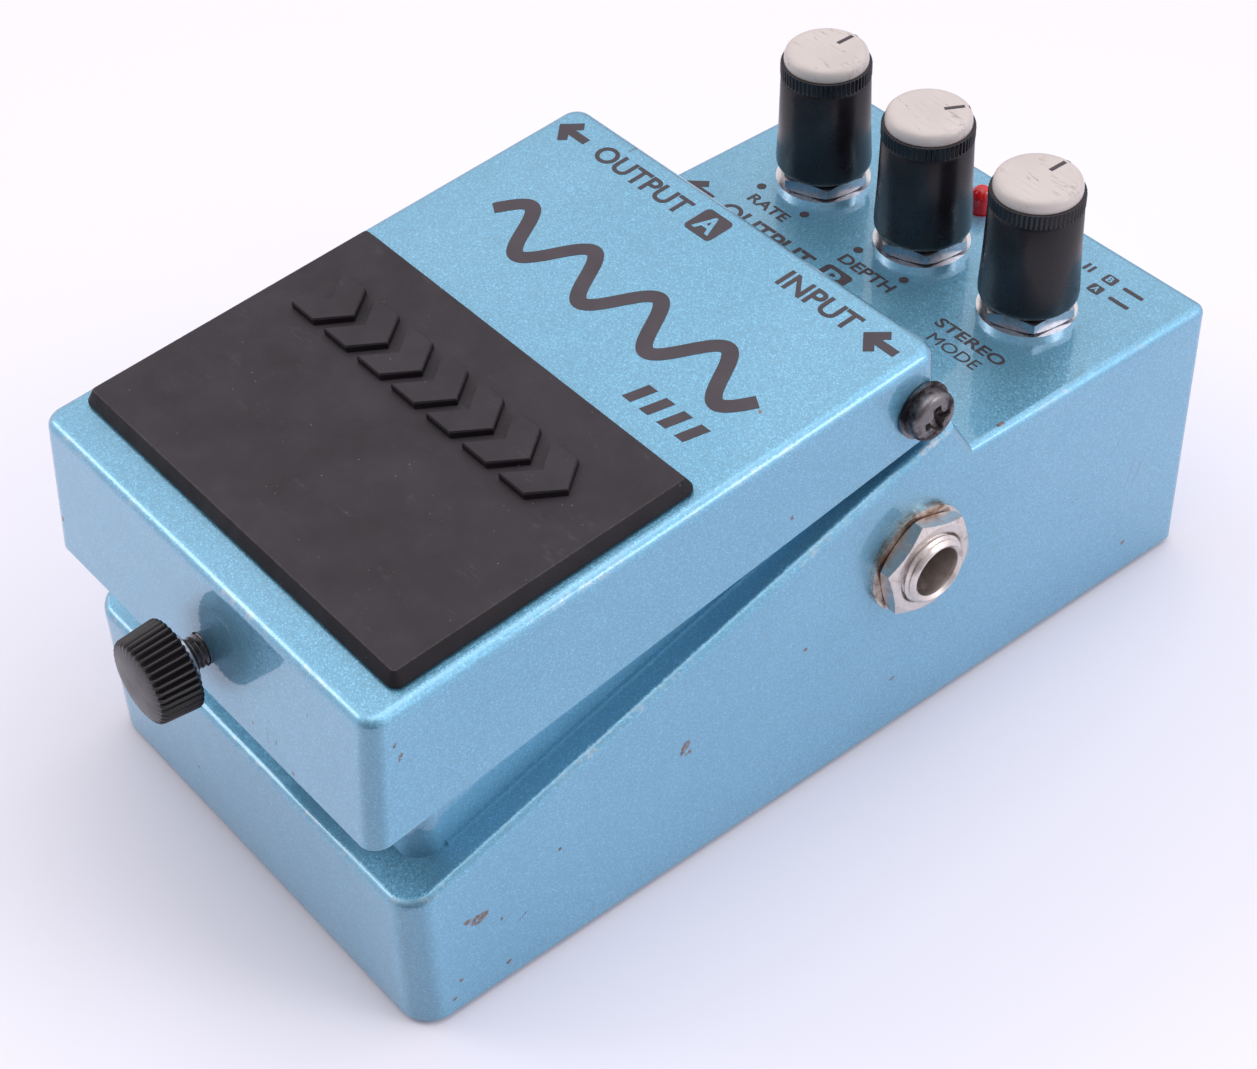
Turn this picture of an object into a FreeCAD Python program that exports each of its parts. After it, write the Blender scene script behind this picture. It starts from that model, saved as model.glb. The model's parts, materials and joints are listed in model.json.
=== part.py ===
import FreeCAD, Part
import math
import os

import Sketcher
from FreeCAD import Placement, Rotation, Vector

# Compact guitar effects pedal: a die-cast case with a hinged treadle over a battery well.
# Frame: millimetres, +X to the input jack's side, +Y to the knobs, +Z up; the origin is the
# centre of the case's footprint, on the surface that the rubber base stands on.

DIMENSIONS = [
    # case
    ("case_width", 66.0, "outside width"),
    ("case_length", 125.5, "outside length"),
    ("case_bottom", 1.0, "height of the casting's lower edge"),
    ("case_wall", 3.0, "side wall"),
    ("case_corner", 4.0, "radius of the front corners"),
    ("case_rear_corner", 1.5, "radius of the rear corners"),
    ("case_edge", 1.2, "rounding of the upper edges"),
    ("rim_front_top", 21.2, "top of the sloping side wall at the front"),
    ("rim_rear_y", 18.2, "rear end of the sloping side wall"),
    ("rim_rear_top", 45.9, "top of the sloping side wall at its rear end"),
    ("panel_front_y", 21.8, "front end of the control panel"),
    ("panel_top", 40.0, "control panel's surface"),
    ("panel_thick", 2.8, "control panel's thickness"),
    ("collar_half", 29.0, "half width of the wall that stands inside the treadle"),
    ("collar_front_y", -58.25, "front face of that wall"),
    ("collar_front_top", 43.5, "its top at the front"),
    ("collar_low", 15.0, "bottom of its outline, inside the walls"),
    ("plinth_step", 0.45, "plinth along the collar's foot, outside the collar"),
    ("plinth_rise", 0.6, "the plinth above the sloping side wall"),
    ("well_half", 26.3, "half width of the battery well"),
    ("well_front_y", -55.75, "front of the well"),
    ("well_floor", 21.0, "floor under the switch and the spring"),
    ("tray_front_y", -33.0, "front of the battery tray"),
    ("tray_rear_y", -1.5, "rear of the battery tray"),
    ("tray_floor", 29.5, "floor of the battery tray"),
    ("floor_thick", 2.5, "thickness of both floors"),
    ("hump_foot", 46.5, "foot of the hinge hump's rear face"),
    ("hump_ceiling", 47.0, "underside of the hinge hump"),
    ("post_x", 27.2, "base screw posts, sideways"),
    ("post_y", 56.5, "base screw posts, lengthways"),
    ("post_radius", 3.2, "base screw posts"),
    ("recess_depth", 1.6, "step in the lower edge that takes the base plate"),
    ("recess_lip", 1.6, "width of the lip round that step"),
    ("over", 1.0, "how far a cutting shape reaches past the face that it cuts"),
    # base
    ("base_thick", 1.2, "steel base plate"),
    ("rubber_thick", 1.4, "rubber base"),
    ("rubber_inset", 0.6, "rubber base inside the base plate's edge"),
    ("rubber_window", 3.4, "radius of the rubber base's windows over the screws"),
    ("base_screw_radius", 1.5, "base screw's shank"),
    ("base_screw_length", 7.9, "base screw's shank"),
    ("base_screw_hole", 9.0, "depth of the posts' holes"),
    ("base_screw_head_radius", 2.8, "base screw's head"),
    ("base_screw_head", 0.9, "thickness of the base screw's head"),
    # hinge and treadle
    ("pivot_y", 12.75, "hinge axis, lengthways"),
    ("pivot_z", 51.0, "hinge axis, height"),
    ("pivot_radius", 2.0, "pivot screw's shank"),
    ("pivot_head_radius", 3.2, "pivot screw's head"),
    ("pivot_head", 2.1, "thickness of the pivot screw's head"),
    ("pivot_head_edge", 0.9, "rounding of the pivot screw's head"),
    ("pivot_shank_end", 22.0, "inner end of the pivot screws, sideways"),
    ("pivot_hole_end", 21.0, "inner end of the pivot screws' holes, sideways"),
    ("pivot_gap", 0.15, "side play between the treadle and the pivot washer"),
    ("pivot_washer", 0.5, "pivot washer"),
    ("pivot_washer_radius", 3.65, "pivot washer"),
    ("pivot_bush_radius", 3.0, "bushes in the treadle's side walls"),
    ("hump_reach", 4.2, "half length of the hinge hump's top"),
    ("hump_height", 3.6, "hinge hump above the axis"),
    ("plate_slope", 4.94, "slope of the treadle at rest, degrees"),
    ("plate_width", 65.0, "treadle's outside width"),
    ("plate_wall", 2.2, "treadle's side wall"),
    ("plate_skin", 2.6, "treadle's top thickness"),
    ("plate_top", 7.4, "treadle's top above the axis, square to the top"),
    ("plate_front", 76.35, "top front edge, ahead of the axis"),
    ("plate_toe", 79.44, "bottom front edge, ahead of the axis"),
    ("plate_toe_drop", 11.0, "bottom front edge, below the axis"),
    ("plate_corner", 2.5, "radius of the treadle's front corners"),
    ("plate_edge", 1.4, "rounding of the treadle's upper edges"),
    ("plate_rear", 3.2, "rear edge, behind the axis"),
    ("plate_heel_drop", 4.76, "bottom of the side wall at the rear edge"),
    ("pad_front", 71.5, "tread pad's front edge, ahead of the axis"),
    ("pad_rear", 30.8, "tread pad's rear edge, ahead of the axis"),
    ("pad_half", 30.4, "tread pad's half width"),
    ("pad_thick", 2.0, "tread pad"),
    ("pad_corner", 1.4, "radius of the tread pad's corners"),
    ("pad_edge", 0.8, "chamfer of the tread pad's upper edge"),
    ("striker_radius", 4.0, "boss that presses the foot switch"),
    ("striker_drop", 2.8, "boss that presses the foot switch"),
    ("stub_radius", 3.2, "boss inside the return spring"),
    ("stub_drop", 3.5, "boss inside the return spring"),
    ("foam_thick", 1.5, "foam over the battery"),
    ("foam_half", 20.0, "foam, half its length across the treadle"),
    ("foam_reach", 8.0, "foam, half its width"),
    # things in the well
    ("station_y", -45.0, "switch and spring, lengthways"),
    ("station_x", 12.0, "switch to the right, spring to the left"),
    ("plunger_radius", 3.0, "foot switch plunger"),
    ("plunger_top", 43.5, "foot switch plunger, released"),
    ("switch_side", 12.0, "foot switch housing, square"),
    ("switch_height", 14.0, "foot switch housing"),
    ("plunger_low", 12.0, "plunger's lower end above the well's floor"),
    ("cup_radius", 6.4, "return spring's cup"),
    ("cup_bore", 5.4, "return spring's cup"),
    ("cup_height", 4.5, "return spring's cup"),
    ("cup_floor", 0.9, "return spring's cup"),
    ("battery_left", 26.0, "battery's left end, from the middle"),
    ("battery_length", 46.4, "battery"),
    ("battery_width", 26.5, "battery"),
    ("battery_height", 17.5, "battery"),
    ("battery_edge", 1.8, "rounding of the battery's long edges"),
    ("spring_radius", 4.5, "return spring, to the wire's centre"),
    ("spring_wire", 0.55, "return spring's wire radius"),
    ("spring_pitch", 3.5, "return spring"),
    ("spring_low", 22.6, "return spring's lowest wire centre"),
    ("spring_rise", 27.0, "rise of the wire's centre"),
    # thumbscrew
    ("screw_z", 39.2, "thumbscrew's axis"),
    ("screw_radius", 2.0, "thumbscrew's shaft"),
    ("screw_head_y", -67.95, "inner face of the head"),
    ("screw_head_radius", 5.95, "head"),
    ("screw_head_length", 5.4, "head"),
    ("screw_tip_y", -54.5, "tip of the shaft"),
    ("screw_dish", 1.4, "dish in the head's face, behind its rim"),
    ("screw_washer", 0.7, "washer between the head and the treadle"),
    ("screw_washer_radius", 5.2, "washer between the head and the treadle"),
    ("guide_half", 3.5, "half width of the shaft's guide in the collar"),
    ("guide_slot", 2.2, "half width of the guide's slot"),
    ("guide_drop", 8.2, "bottom of the guide, below the shaft's axis"),
    ("guide_floor", 1.5, "thickness under the guide's slot"),
    ("guide_thick", 2.9, "the guide, front to back"),
    # jacks
    ("jack_y", 12.55, "input jack and first output jack"),
    ("jack_spacing", 19.0, "second output jack, behind the first"),
    ("jack_z", 28.6, "jack axes"),
    ("jack_bore", 3.25, "radius of the plug's hole"),
    ("jack_thread", 4.6, "radius of the threaded bush"),
    ("jack_proud", 4.3, "bush outside the wall"),
    ("jack_chamber", 4.0, "radius of the hole in the housing, round the plug and its contacts"),
    ("jack_bush_end", 10.0, "inner end of the bush, from the outside of the wall"),
    ("jack_flange", 1.6, "the bush's flange behind the wall, outside the thread"),
    ("jack_flange_thick", 1.5, "the flange"),
    ("housing_half", 6.6, "moulded housing, half its height"),
    ("housing_reach", 7.0, "moulded housing, half its width"),
    ("housing_length", 20.0, "moulded housing"),
    ("jack_washer", 0.7, "washer outside the wall"),
    ("jack_washer_radius", 7.3, "washer outside the wall"),
    ("jack_nut", 2.3, "thickness of the nut"),
    ("jack_nut_corner", 7.05, "nut, to its corners"),
    ("power_z", 20.0, "power socket's axis"),
    ("power_radius", 5.4, "power socket's barrel"),
    ("power_mouth", 3.1, "radius of the power socket's mouth"),
    ("power_pin_radius", 1.0, "power socket's pin"),
    ("power_pin_length", 10.0, "power socket's pin"),
    # controls
    ("knob_y", 45.05, "row of knobs"),
    ("knob_pitch", 18.67, "knob to knob"),
    ("knob_bottom", 43.0, "knob's lower rim"),
    ("knob_top", 58.6, "top of the black part"),
    ("cap_top", 60.3, "top of the pale cap"),
    ("shaft_radius", 3.0, "potentiometer shaft"),
    ("knob_seat", 3.0, "black part above the shaft's end"),
    ("cap_radius", 5.45, "pale cap"),
    ("neck_radius", 3.5, "controls' threaded necks"),
    ("neck_rise", 4.2, "controls' necks above the panel"),
    ("can_height", 5.6, "controls' cans"),
    ("control_washer", 0.7, "washers on the panel"),
    ("control_washer_radius", 6.3, "washers on the panel"),
    ("control_nut", 2.0, "thickness of the nuts on the panel"),
    ("control_nut_corner", 6.2, "nuts on the panel, to their corners"),
    ("board_low", 29.4, "underside of the control board"),
    ("board_thick", 1.6, "circuit boards"),
    ("main_board_gap", 3.4, "main board above the base plate"),
    ("main_board_width", 57.0, "main board"),
    ("main_board_length", 104.0, "main board"),
    ("sheet_thick", 0.4, "insulating sheet"),
    ("control_board_y", 48.8, "middle of the control board"),
    ("lamp_y", 55.8, "indicator lamp"),
    ("lamp_radius", 1.5, "indicator lamp"),
    ("lamp_low", 36.0, "lower end of the lamp's body"),
    ("lamp_rise", 2.2, "middle of the lamp's dome above the panel"),
    ("play", 0.05, "radial clearance of turning and sliding fits"),
]

doc = FreeCAD.newDocument("EffectsPedal")
dim = doc.addObject("Spreadsheet::Sheet", "Dim")
for row, (alias, value, meaning) in enumerate(DIMENSIONS, start=1):
    dim.set("A%d" % row, meaning)
    dim.set("B%d" % row, str(value))
    dim.setAlias("B%d" % row, alias)
doc.recompute()

nodes = []


def d(text):
    """An expression in the sheet's aliases: every word of the text that is an alias is bound."""
    aliases = {alias for alias, _, _ in DIMENSIONS}
    return " ".join("Dim." + word if word in aliases else word for word in text.split())


def node(thing, label):
    """Name a finished piece; its label is its file's name."""
    thing.Label = label
    nodes.append(thing)
    return thing


def place(thing, x="0", y="0", z="0", axis=(0, 0, 1), turn=0.0):
    """Put a piece at a place given by expressions, turned about an axis."""
    thing.Placement = Placement(Vector(0, 0, 0), Rotation(Vector(*axis), turn))
    for letter, text in zip("xyz", (x, y, z)):
        thing.setExpression(".Placement.Base." + letter, d(text))
    return thing


# ---------------------------------------------------------------- sketches and features

def sketch_on(body, role, lift="0", tilt=None):
    """A sketch on one of the body's origin planes, lifted along the plane's normal."""
    plane = next(item for item in body.Origin.OriginFeatures if item.Role == role)
    sketch = body.newObject("Sketcher::SketchObject", "Sketch")
    sketch.AttachmentSupport = [(plane, "")]
    sketch.MapMode = "FlatFace"
    sketch.AttachmentOffset = Placement(Vector(0, 0, 0), Rotation(Vector(1, 0, 0), 0))
    sketch.setExpression(".AttachmentOffset.Base.z", d(lift))
    if tilt:
        sketch.setExpression(".AttachmentOffset.Rotation.Angle", d(tilt))
    return sketch


def fix_point(sketch, item, end, x, y):
    for kind, text in (("DistanceX", x), ("DistanceY", y)):
        index = sketch.addConstraint(Sketcher.Constraint(kind, -1, 1, item, end, 1.0))
        sketch.setExpression("Constraints[%d]" % index, d(text))


def polygon(sketch, points):
    """A closed outline whose corners are pairs of expressions."""
    count = len(points)
    first = sketch.GeometryCount
    ring = [Vector(math.cos(math.tau * k / count), math.sin(math.tau * k / count), 0) for k in range(count)]
    for k in range(count):
        sketch.addGeometry(Part.LineSegment(ring[k], ring[(k + 1) % count]))
    for k, (x, y) in enumerate(points):
        sketch.addConstraint(Sketcher.Constraint("Coincident", first + k, 2, first + (k + 1) % count, 1))
        fix_point(sketch, first + k, 1, x, y)
    return sketch


def rectangle(sketch, x_low, x_high, y_low, y_high):
    return polygon(sketch, [(x_low, y_low), (x_high, y_low), (x_high, y_high), (x_low, y_high)])


def circle(sketch, x, y, radius):
    item = sketch.addGeometry(Part.Circle(Vector(0, 0, 0), Vector(0, 0, 1), 1.0))
    fix_point(sketch, item, 3, x, y)
    index = sketch.addConstraint(Sketcher.Constraint("Radius", item, 2.0))
    sketch.setExpression("Constraints[%d]" % index, d(radius))
    return sketch


def extrude(body, kind, sketch, length, symmetric=False, backwards=False):
    """Pad or Pocket of a sketch; stops if it doesn't change the solid the way it should."""
    before = body.Shape.Volume if body.Tip else 0.0
    feature = body.newObject("PartDesign::" + kind, kind)
    feature.Profile = sketch
    feature.SideType = "Symmetric" if symmetric else "One side"
    feature.Reversed = backwards
    feature.setExpression("Length", d(length))
    doc.recompute()
    change = feature.Shape.Volume - before
    if (change <= 0.01) == (kind == "Pad"):
        raise ValueError("%s in %s changes the volume by %.3f" % (kind, body.Name, change))
    return feature


def pad(body, sketch, length, **how):
    return extrude(body, "Pad", sketch, length, **how)


def pocket(body, sketch, length, **how):
    return extrude(body, "Pocket", sketch, length, **how)


def dress(body, kind, size, chosen):
    """Fillet or Chamfer of the edges of the body's tip that the test picks."""
    base = body.Tip
    names = ["Edge%d" % k for k, edge in enumerate(base.Shape.Edges, start=1) if chosen(edge)]
    if not names:
        raise ValueError("no edges to dress in " + body.Name)
    feature = body.newObject("PartDesign::" + kind, kind)
    feature.Base = (base, names)
    feature.setExpression("Radius" if kind == "Fillet" else "Size", d(size))
    doc.recompute()
    return feature


def revolve(body, points):
    """A body of revolution about its own Z from (radius, height) corners."""
    sketch = polygon(sketch_on(body, "XZ_Plane"), points)
    feature = body.newObject("PartDesign::Revolution", "Revolution")
    feature.Profile = sketch
    feature.ReferenceAxis = (sketch, ["V_Axis"])
    feature.Angle = 360.0
    doc.recompute()
    return feature


def new_body(name):
    return doc.addObject("PartDesign::Body", name)


def upright(edge):
    """True for a straight edge that runs up the piece."""
    way = edge.tangentAt(edge.FirstParameter)
    return edge.Curve.TypeId == "Part::GeomLine" and abs(way.z) > 0.9


def ends(edge):
    return [vertex.Point for vertex in edge.Vertexes]


# ---------------------------------------------------------------- primitives

def cylinder(radius, height, **where):
    thing = doc.addObject("Part::Cylinder", "Cylinder")
    thing.setExpression("Radius", d(radius))
    thing.setExpression("Height", d(height))
    return place(thing, **where)


def block(length, width, height, **where):
    """A box that sits on its placement, centred sideways and lengthways."""
    thing = doc.addObject("Part::Box", "Box")
    for name, size in (("Length", length), ("Width", width), ("Height", height)):
        thing.setExpression(name, d(size))
    x = where.pop("x", "0")
    y = where.pop("y", "0")
    return place(thing, x="%s - ( %s ) / 2" % (x, length), y="%s - ( %s ) / 2" % (y, width), **where)


def cut(base, *tools):
    for tool in tools:
        thing = doc.addObject("Part::Cut", "Cut")
        thing.Base = base
        thing.Tool = tool
        base = thing
    return base


def fuse(*shapes):
    thing = doc.addObject("Part::MultiFuse", "Fusion")
    thing.Shapes = list(shapes)
    return thing


def together(*shapes):
    """Several separate solids in one piece's file, such as a set of screws."""
    thing = doc.addObject("Part::Compound", "Set")
    thing.Links = list(shapes)
    return thing


def ring(outer, inner, height, **where):
    """A washer or tube that stands on its placement."""
    tube = cut(cylinder(outer, height), cylinder(inner, "%s + 2" % height, z="-1"))
    return place(tube, **where)


def hex_nut(corner, hole, height, **where):
    """A hexagon nut: its corner radius, its hole and its height."""
    prism = doc.addObject("Part::Prism", "Prism")
    prism.Polygon = 6
    prism.setExpression("Circumradius", d(corner))
    prism.setExpression("Height", d(height))
    return place(cut(prism, cylinder(hole, "%s + 2" % height, z="-1")), **where)


# ---------------------------------------------------------------- case

def make_chassis():
    """One casting: side walls that slope up to the hinge, a level control panel behind it, and
    a collar that stands inside the treadle, round the wells, and ends in the hinge's hump."""
    body = new_body("Chassis")
    half = "case_length / 2"
    profile = sketch_on(body, "YZ_Plane")
    polygon(profile, [
        ("- " + half, "case_bottom"), (half, "case_bottom"), (half, "panel_top"),
        ("panel_front_y", "panel_top"), ("rim_rear_y", "rim_rear_top"), ("- " + half, "rim_front_top")])
    pad(body, profile, "case_width", symmetric=True)
    reach_x = dim.case_width / 2
    reach_y = dim.case_length / 2

    def corner(edge, side):
        return upright(edge) and all(
            abs(abs(p.x) - reach_x) + abs(p.y - side * reach_y) < 0.01 for p in ends(edge))

    def upper_outer(edge):
        inside = dim.case_corner + 0.01
        outside = all(abs(p.x) > reach_x - 0.01 or abs(p.y) > reach_y - 0.01 for p in ends(edge))
        outer = abs(edge.CenterOfMass.x) > reach_x - inside or abs(edge.CenterOfMass.y) > reach_y - inside
        high = min(p.z for p in ends(edge)) > dim.rim_front_top - 1
        return outside and outer and high and not corner_line(edge)

    def corner_line(edge):
        return edge.Curve.TypeId == "Part::GeomLine" and abs(edge.tangentAt(edge.FirstParameter).z) > 0.99

    dress(body, "Fillet", "case_corner", lambda edge: corner(edge, -1))
    dress(body, "Fillet", "case_rear_corner", lambda edge: corner(edge, 1))
    dress(body, "Fillet", "case_edge", upper_outer)

    # collar with the hinge hump at its rear end; the hump stays inside the treadle as it swings
    collar = sketch_on(body, "YZ_Plane")
    polygon(collar, [
        ("collar_front_y", "collar_low"), ("rim_rear_y", "collar_low"),
        ("rim_rear_y", "hump_foot"), ("pivot_y + hump_reach", "pivot_z + 1"),
        ("pivot_y + hump_reach / 2", "pivot_z + hump_height"),
        ("pivot_y - hump_reach", "pivot_z + hump_height"),
        ("collar_front_y", "collar_front_top")])
    pad(body, collar, "2 * collar_half", symmetric=True)
    dress(body, "Fillet", "case_corner - 0.5", lambda edge: upright(edge) and all(
        abs(p.y - dim.collar_front_y) < 0.01 and abs(abs(p.x) - dim.collar_half) < 0.01 for p in ends(edge)))

    # plinth along the foot of the collar's sides, parallel to the sloping walls
    slope = "( rim_rear_top - rim_front_top ) / ( rim_rear_y + case_length / 2 )"
    foot_y = "( collar_front_y + case_corner )"
    heel_y = "( rim_rear_y - over )"
    rim_at = "rim_front_top + ( %s + case_length / 2 ) * " + slope
    plinth = sketch_on(body, "YZ_Plane")
    polygon(plinth, [
        (foot_y, "collar_low"), (heel_y, "collar_low"), (heel_y, rim_at % heel_y + " + plinth_rise"),
        (foot_y, rim_at % foot_y + " + plinth_rise")])
    pad(body, plinth, "2 * ( collar_half + plinth_step )", symmetric=True)

    # wells for the switch, the spring and the battery, open at the top
    well = sketch_on(body, "YZ_Plane")
    polygon(well, [
        ("well_front_y", "well_floor"), ("tray_front_y", "well_floor"), ("tray_front_y", "tray_floor"),
        ("tray_rear_y", "tray_floor"), ("tray_rear_y", "cap_top"), ("well_front_y", "cap_top")])
    pocket(body, well, "2 * well_half", symmetric=True)

    # room for the circuits, open at the bottom
    room = sketch_on(body, "YZ_Plane")
    front = "- case_length / 2 + case_wall"
    rear = "case_length / 2 - case_wall"
    polygon(room, [
        (front, "0"), (rear, "0"), (rear, "panel_top - panel_thick"),
        ("tray_rear_y + case_wall", "panel_top - panel_thick"),
        ("tray_rear_y + case_wall", "tray_floor - floor_thick"),
        ("tray_front_y + floor_thick", "tray_floor - floor_thick"),
        ("tray_front_y + floor_thick", "well_floor - floor_thick"), (front, "well_floor - floor_thick")])
    pocket(body, room, "case_width - 2 * case_wall", symmetric=True)
    hollow = sketch_on(body, "YZ_Plane")
    rectangle(hollow, "tray_rear_y + case_wall", "rim_rear_y - case_wall", "panel_top - panel_thick - over",
              "hump_ceiling")
    pocket(body, hollow, "2 * well_half", symmetric=True)

    # step in the lower edge for the base plate
    recess = sketch_on(body, "XY_Plane", "case_bottom")
    rectangle(recess, "- case_width / 2 + recess_lip", "case_width / 2 - recess_lip",
              "- case_length / 2 + recess_lip", "case_length / 2 - recess_lip")
    pocket(body, recess, "recess_depth", backwards=True)

    # posts for the base screws, up to the ceiling above each, and their holes
    for side, ceiling in (("-", "well_floor - floor_thick"), ("", "panel_top - panel_thick")):
        posts = sketch_on(body, "XY_Plane", "case_bottom + recess_depth")
        holes = sketch_on(body, "XY_Plane", "case_bottom + recess_depth")
        for hand in ("-", ""):
            circle(posts, hand + " post_x", side + " post_y", "post_radius")
            circle(holes, hand + " post_x", side + " post_y", "base_screw_radius")
        pad(body, posts, ceiling + " - case_bottom - recess_depth + 0.1")
        pocket(body, holes, "base_screw_hole", backwards=True)

    # panel holes: three control bushes and the lamp
    panel = sketch_on(body, "XY_Plane", "panel_top + over")
    for step in ("- knob_pitch", "0", "knob_pitch"):
        circle(panel, step, "knob_y", "neck_radius + 0.1")
    circle(panel, "0", "lamp_y", "lamp_radius + 0.1")
    pocket(body, panel, "panel_thick + 2 * over")

    # jack holes: one on the right, two on the left
    right = sketch_on(body, "YZ_Plane", "case_width / 2 + over")
    circle(right, "jack_y", "jack_z", "jack_thread + 0.1")
    pocket(body, right, "case_wall + 2 * over")
    left = sketch_on(body, "YZ_Plane", "case_wall - case_width / 2 + over")
    circle(left, "jack_y", "jack_z", "jack_thread + 0.1")
    circle(left, "jack_y + jack_spacing", "jack_z", "jack_thread + 0.1")
    pocket(body, left, "case_wall + 2 * over")

    # power socket's hole in the rear wall, the thumbscrew's notch, and the pivot holes
    inside_rear = sketch_on(body, "XZ_Plane", "case_wall - case_length / 2 + over")
    power = circle(inside_rear, "0", "power_z", "power_radius + 0.1")
    pocket(body, power, "case_wall + 2 * over")
    notch = sketch_on(body, "XZ_Plane", "0.5 - collar_front_y")
    rectangle(notch, "- guide_half", "guide_half", "screw_z - guide_drop", "cap_top")
    pocket(body, notch, "guide_thick + 0.4")
    for lift in ("collar_half + over", "- pivot_hole_end"):
        pivot = circle(sketch_on(body, "YZ_Plane", lift), "pivot_y", "pivot_z", "pivot_radius")
        pocket(body, pivot, "collar_half + over - pivot_hole_end")
    node(body, "chassis")


def make_base():
    """Steel base plate in the case's lower step, its four screws, and the rubber base on it."""
    plate = new_body("BasePlate")
    lip = "recess_lip + 0.2"
    outline = sketch_on(plate, "XY_Plane", "case_bottom + recess_depth - base_thick")
    rectangle(outline, "- case_width / 2 + " + lip, "case_width / 2 - ( " + lip + " )",
              "- case_length / 2 + " + lip, "case_length / 2 - ( " + lip + " )")
    pad(plate, outline, "base_thick")
    holes = sketch_on(plate, "XY_Plane", "case_bottom + recess_depth + over")
    rubber = new_body("RubberBase")
    edge = lip + " + rubber_inset"
    sheet = sketch_on(rubber, "XY_Plane")
    rectangle(sheet, "- case_width / 2 + " + edge, "case_width / 2 - ( " + edge + " )",
              "- case_length / 2 + " + edge, "case_length / 2 - ( " + edge + " )")
    pad(rubber, sheet, "rubber_thick")
    dress(rubber, "Fillet", "case_corner", upright)
    windows = sketch_on(rubber, "XY_Plane", "rubber_thick + over")
    for x in ("- post_x", "post_x"):
        for y in ("- post_y", "post_y"):
            circle(holes, x, y, "base_screw_radius + 0.1")
            circle(windows, x, y, "rubber_window")
    pocket(plate, holes, "base_thick + 2 * over")
    pocket(rubber, windows, "rubber_thick + 2 * over")
    node(plate, "base_plate")
    node(rubber, "rubber_base")

    screws = []
    for x in ("- post_x", "post_x"):
        for y in ("- post_y", "post_y"):
            face = "case_bottom + recess_depth - base_thick"
            head = cylinder("base_screw_head_radius", "base_screw_head", x=x, y=y,
                            z=face + " - base_screw_head")
            shank = cylinder("base_screw_radius", "base_screw_length", x=x, y=y, z=face)
            screws.append(fuse(head, shank))
    node(together(*screws), "base_screws")


# ---------------------------------------------------------------- circuits

def make_boards():
    """Main board on spacers over an insulating sheet, with its parts, and the controls' board."""
    floor = "case_bottom + recess_depth"
    board_z = floor + " + main_board_gap"
    node(block("main_board_width + 1", "main_board_length", "sheet_thick", z=floor), "insulating_sheet")
    spacers = [ring("2.4", "1.2", "main_board_gap - sheet_thick", x=hand + " 24", y=end + " 46",
                    z=floor + " + sheet_thick")
               for hand in ("-", "") for end in ("-", "")]
    node(together(*spacers), "board_spacers")
    node(block("main_board_width", "main_board_length", "board_thick", z=board_z), "main_board")

    top = board_z + " + board_thick"
    # chips and the trimmer: length, width, height, and where they stand
    chips = [("10", "24", "3.2", "-14", "-12"), ("8", "10", "3", "4", "-14"), ("8", "10", "3", "4", "4"),
             ("6.5", "6.5", "4", "18", "26")]
    parts = [block(length, width, height, x=x, y=y, z=top) for length, width, height, x, y in chips]
    # can capacitors, all one size
    cans = [("19", "-30"), ("19", "-22"), ("19", "-14"), ("-22", "14"), ("-15", "14"), ("-22", "28"),
            ("-14", "28"), ("18", "38")]
    parts += [cylinder("2.5", "7", x=x, y=y, z=top) for x, y in cans]
    node(together(*parts), "board_components")

    board = block("47.2", "17.6", "board_thick", y="control_board_y", z="board_low")
    holes = [cylinder("1.4", "board_thick + 2 * over", x=hand + " 21.4", y="control_board_y + 7",
                      z="board_low - over")
             for hand in ("-", "")]
    node(cut(board, *holes), "control_board")


def make_battery():
    """Nine-volt block across the tray, with the snap connector on its right-hand end."""
    middle = "( tray_front_y + tray_rear_y ) / 2"
    battery = new_body("Battery")
    ends_on = sketch_on(battery, "YZ_Plane", "- battery_left")
    rectangle(ends_on, middle + " - battery_width / 2", middle + " + battery_width / 2",
              "tray_floor", "tray_floor + battery_height")
    pad(battery, ends_on, "battery_length")
    dress(battery, "Fillet", "battery_edge", lambda edge: abs(edge.tangentAt(edge.FirstParameter).x) > 0.9)
    node(battery, "battery")
    snap_length = "4.6"
    snap_x = "battery_length - battery_left + %s / 2" % snap_length
    snap = block(snap_length, "battery_width - 1.5", "14", x=snap_x, y=middle, z="tray_floor + 1.7")
    node(snap, "battery_snap")


# ---------------------------------------------------------------- foot switch and spring

def make_switch():
    at = {"x": "station_x", "y": "station_y"}
    housing = block("switch_side", "switch_side", "switch_height", z="well_floor", **at)
    stroke = "2"
    bore = cylinder("plunger_radius + play", "switch_height", z="well_floor + plunger_low - " + stroke, **at)
    node(cut(housing, bore), "switch_body")
    plunger = cylinder("plunger_radius", "plunger_top - well_floor - plunger_low",
                       z="well_floor + plunger_low", **at)
    node(plunger, "switch_plunger")


def make_spring():
    at = {"x": "- station_x", "y": "station_y"}
    cup = cut(cylinder("cup_radius", "cup_height", z="well_floor", **at),
              cylinder("cup_bore", "cup_height", z="well_floor + cup_floor", **at))
    node(cup, "spring_cup")
    spring = new_body("ReturnSpring")
    place(spring, z="spring_low", **at)
    wire = circle(sketch_on(spring, "XZ_Plane"), "spring_radius", "0", "spring_wire")
    coil = spring.newObject("PartDesign::AdditiveHelix", "Coil")
    coil.Profile = wire
    coil.ReferenceAxis = (wire, ["V_Axis"])
    coil.Mode = "pitch-height-angle"
    coil.setExpression("Pitch", d("spring_pitch"))
    coil.setExpression("Height", d("spring_rise"))
    doc.recompute()
    node(spring, "return_spring")


# ---------------------------------------------------------------- treadle

def on_pivot(body):
    """Bodies of the treadle are drawn square to its top, about the hinge axis, and then tilted."""
    place(body, y="pivot_y", z="pivot_z", axis=(1, 0, 0))
    body.setExpression(".Placement.Rotation.Angle", d("plate_slope"))
    return body


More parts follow.
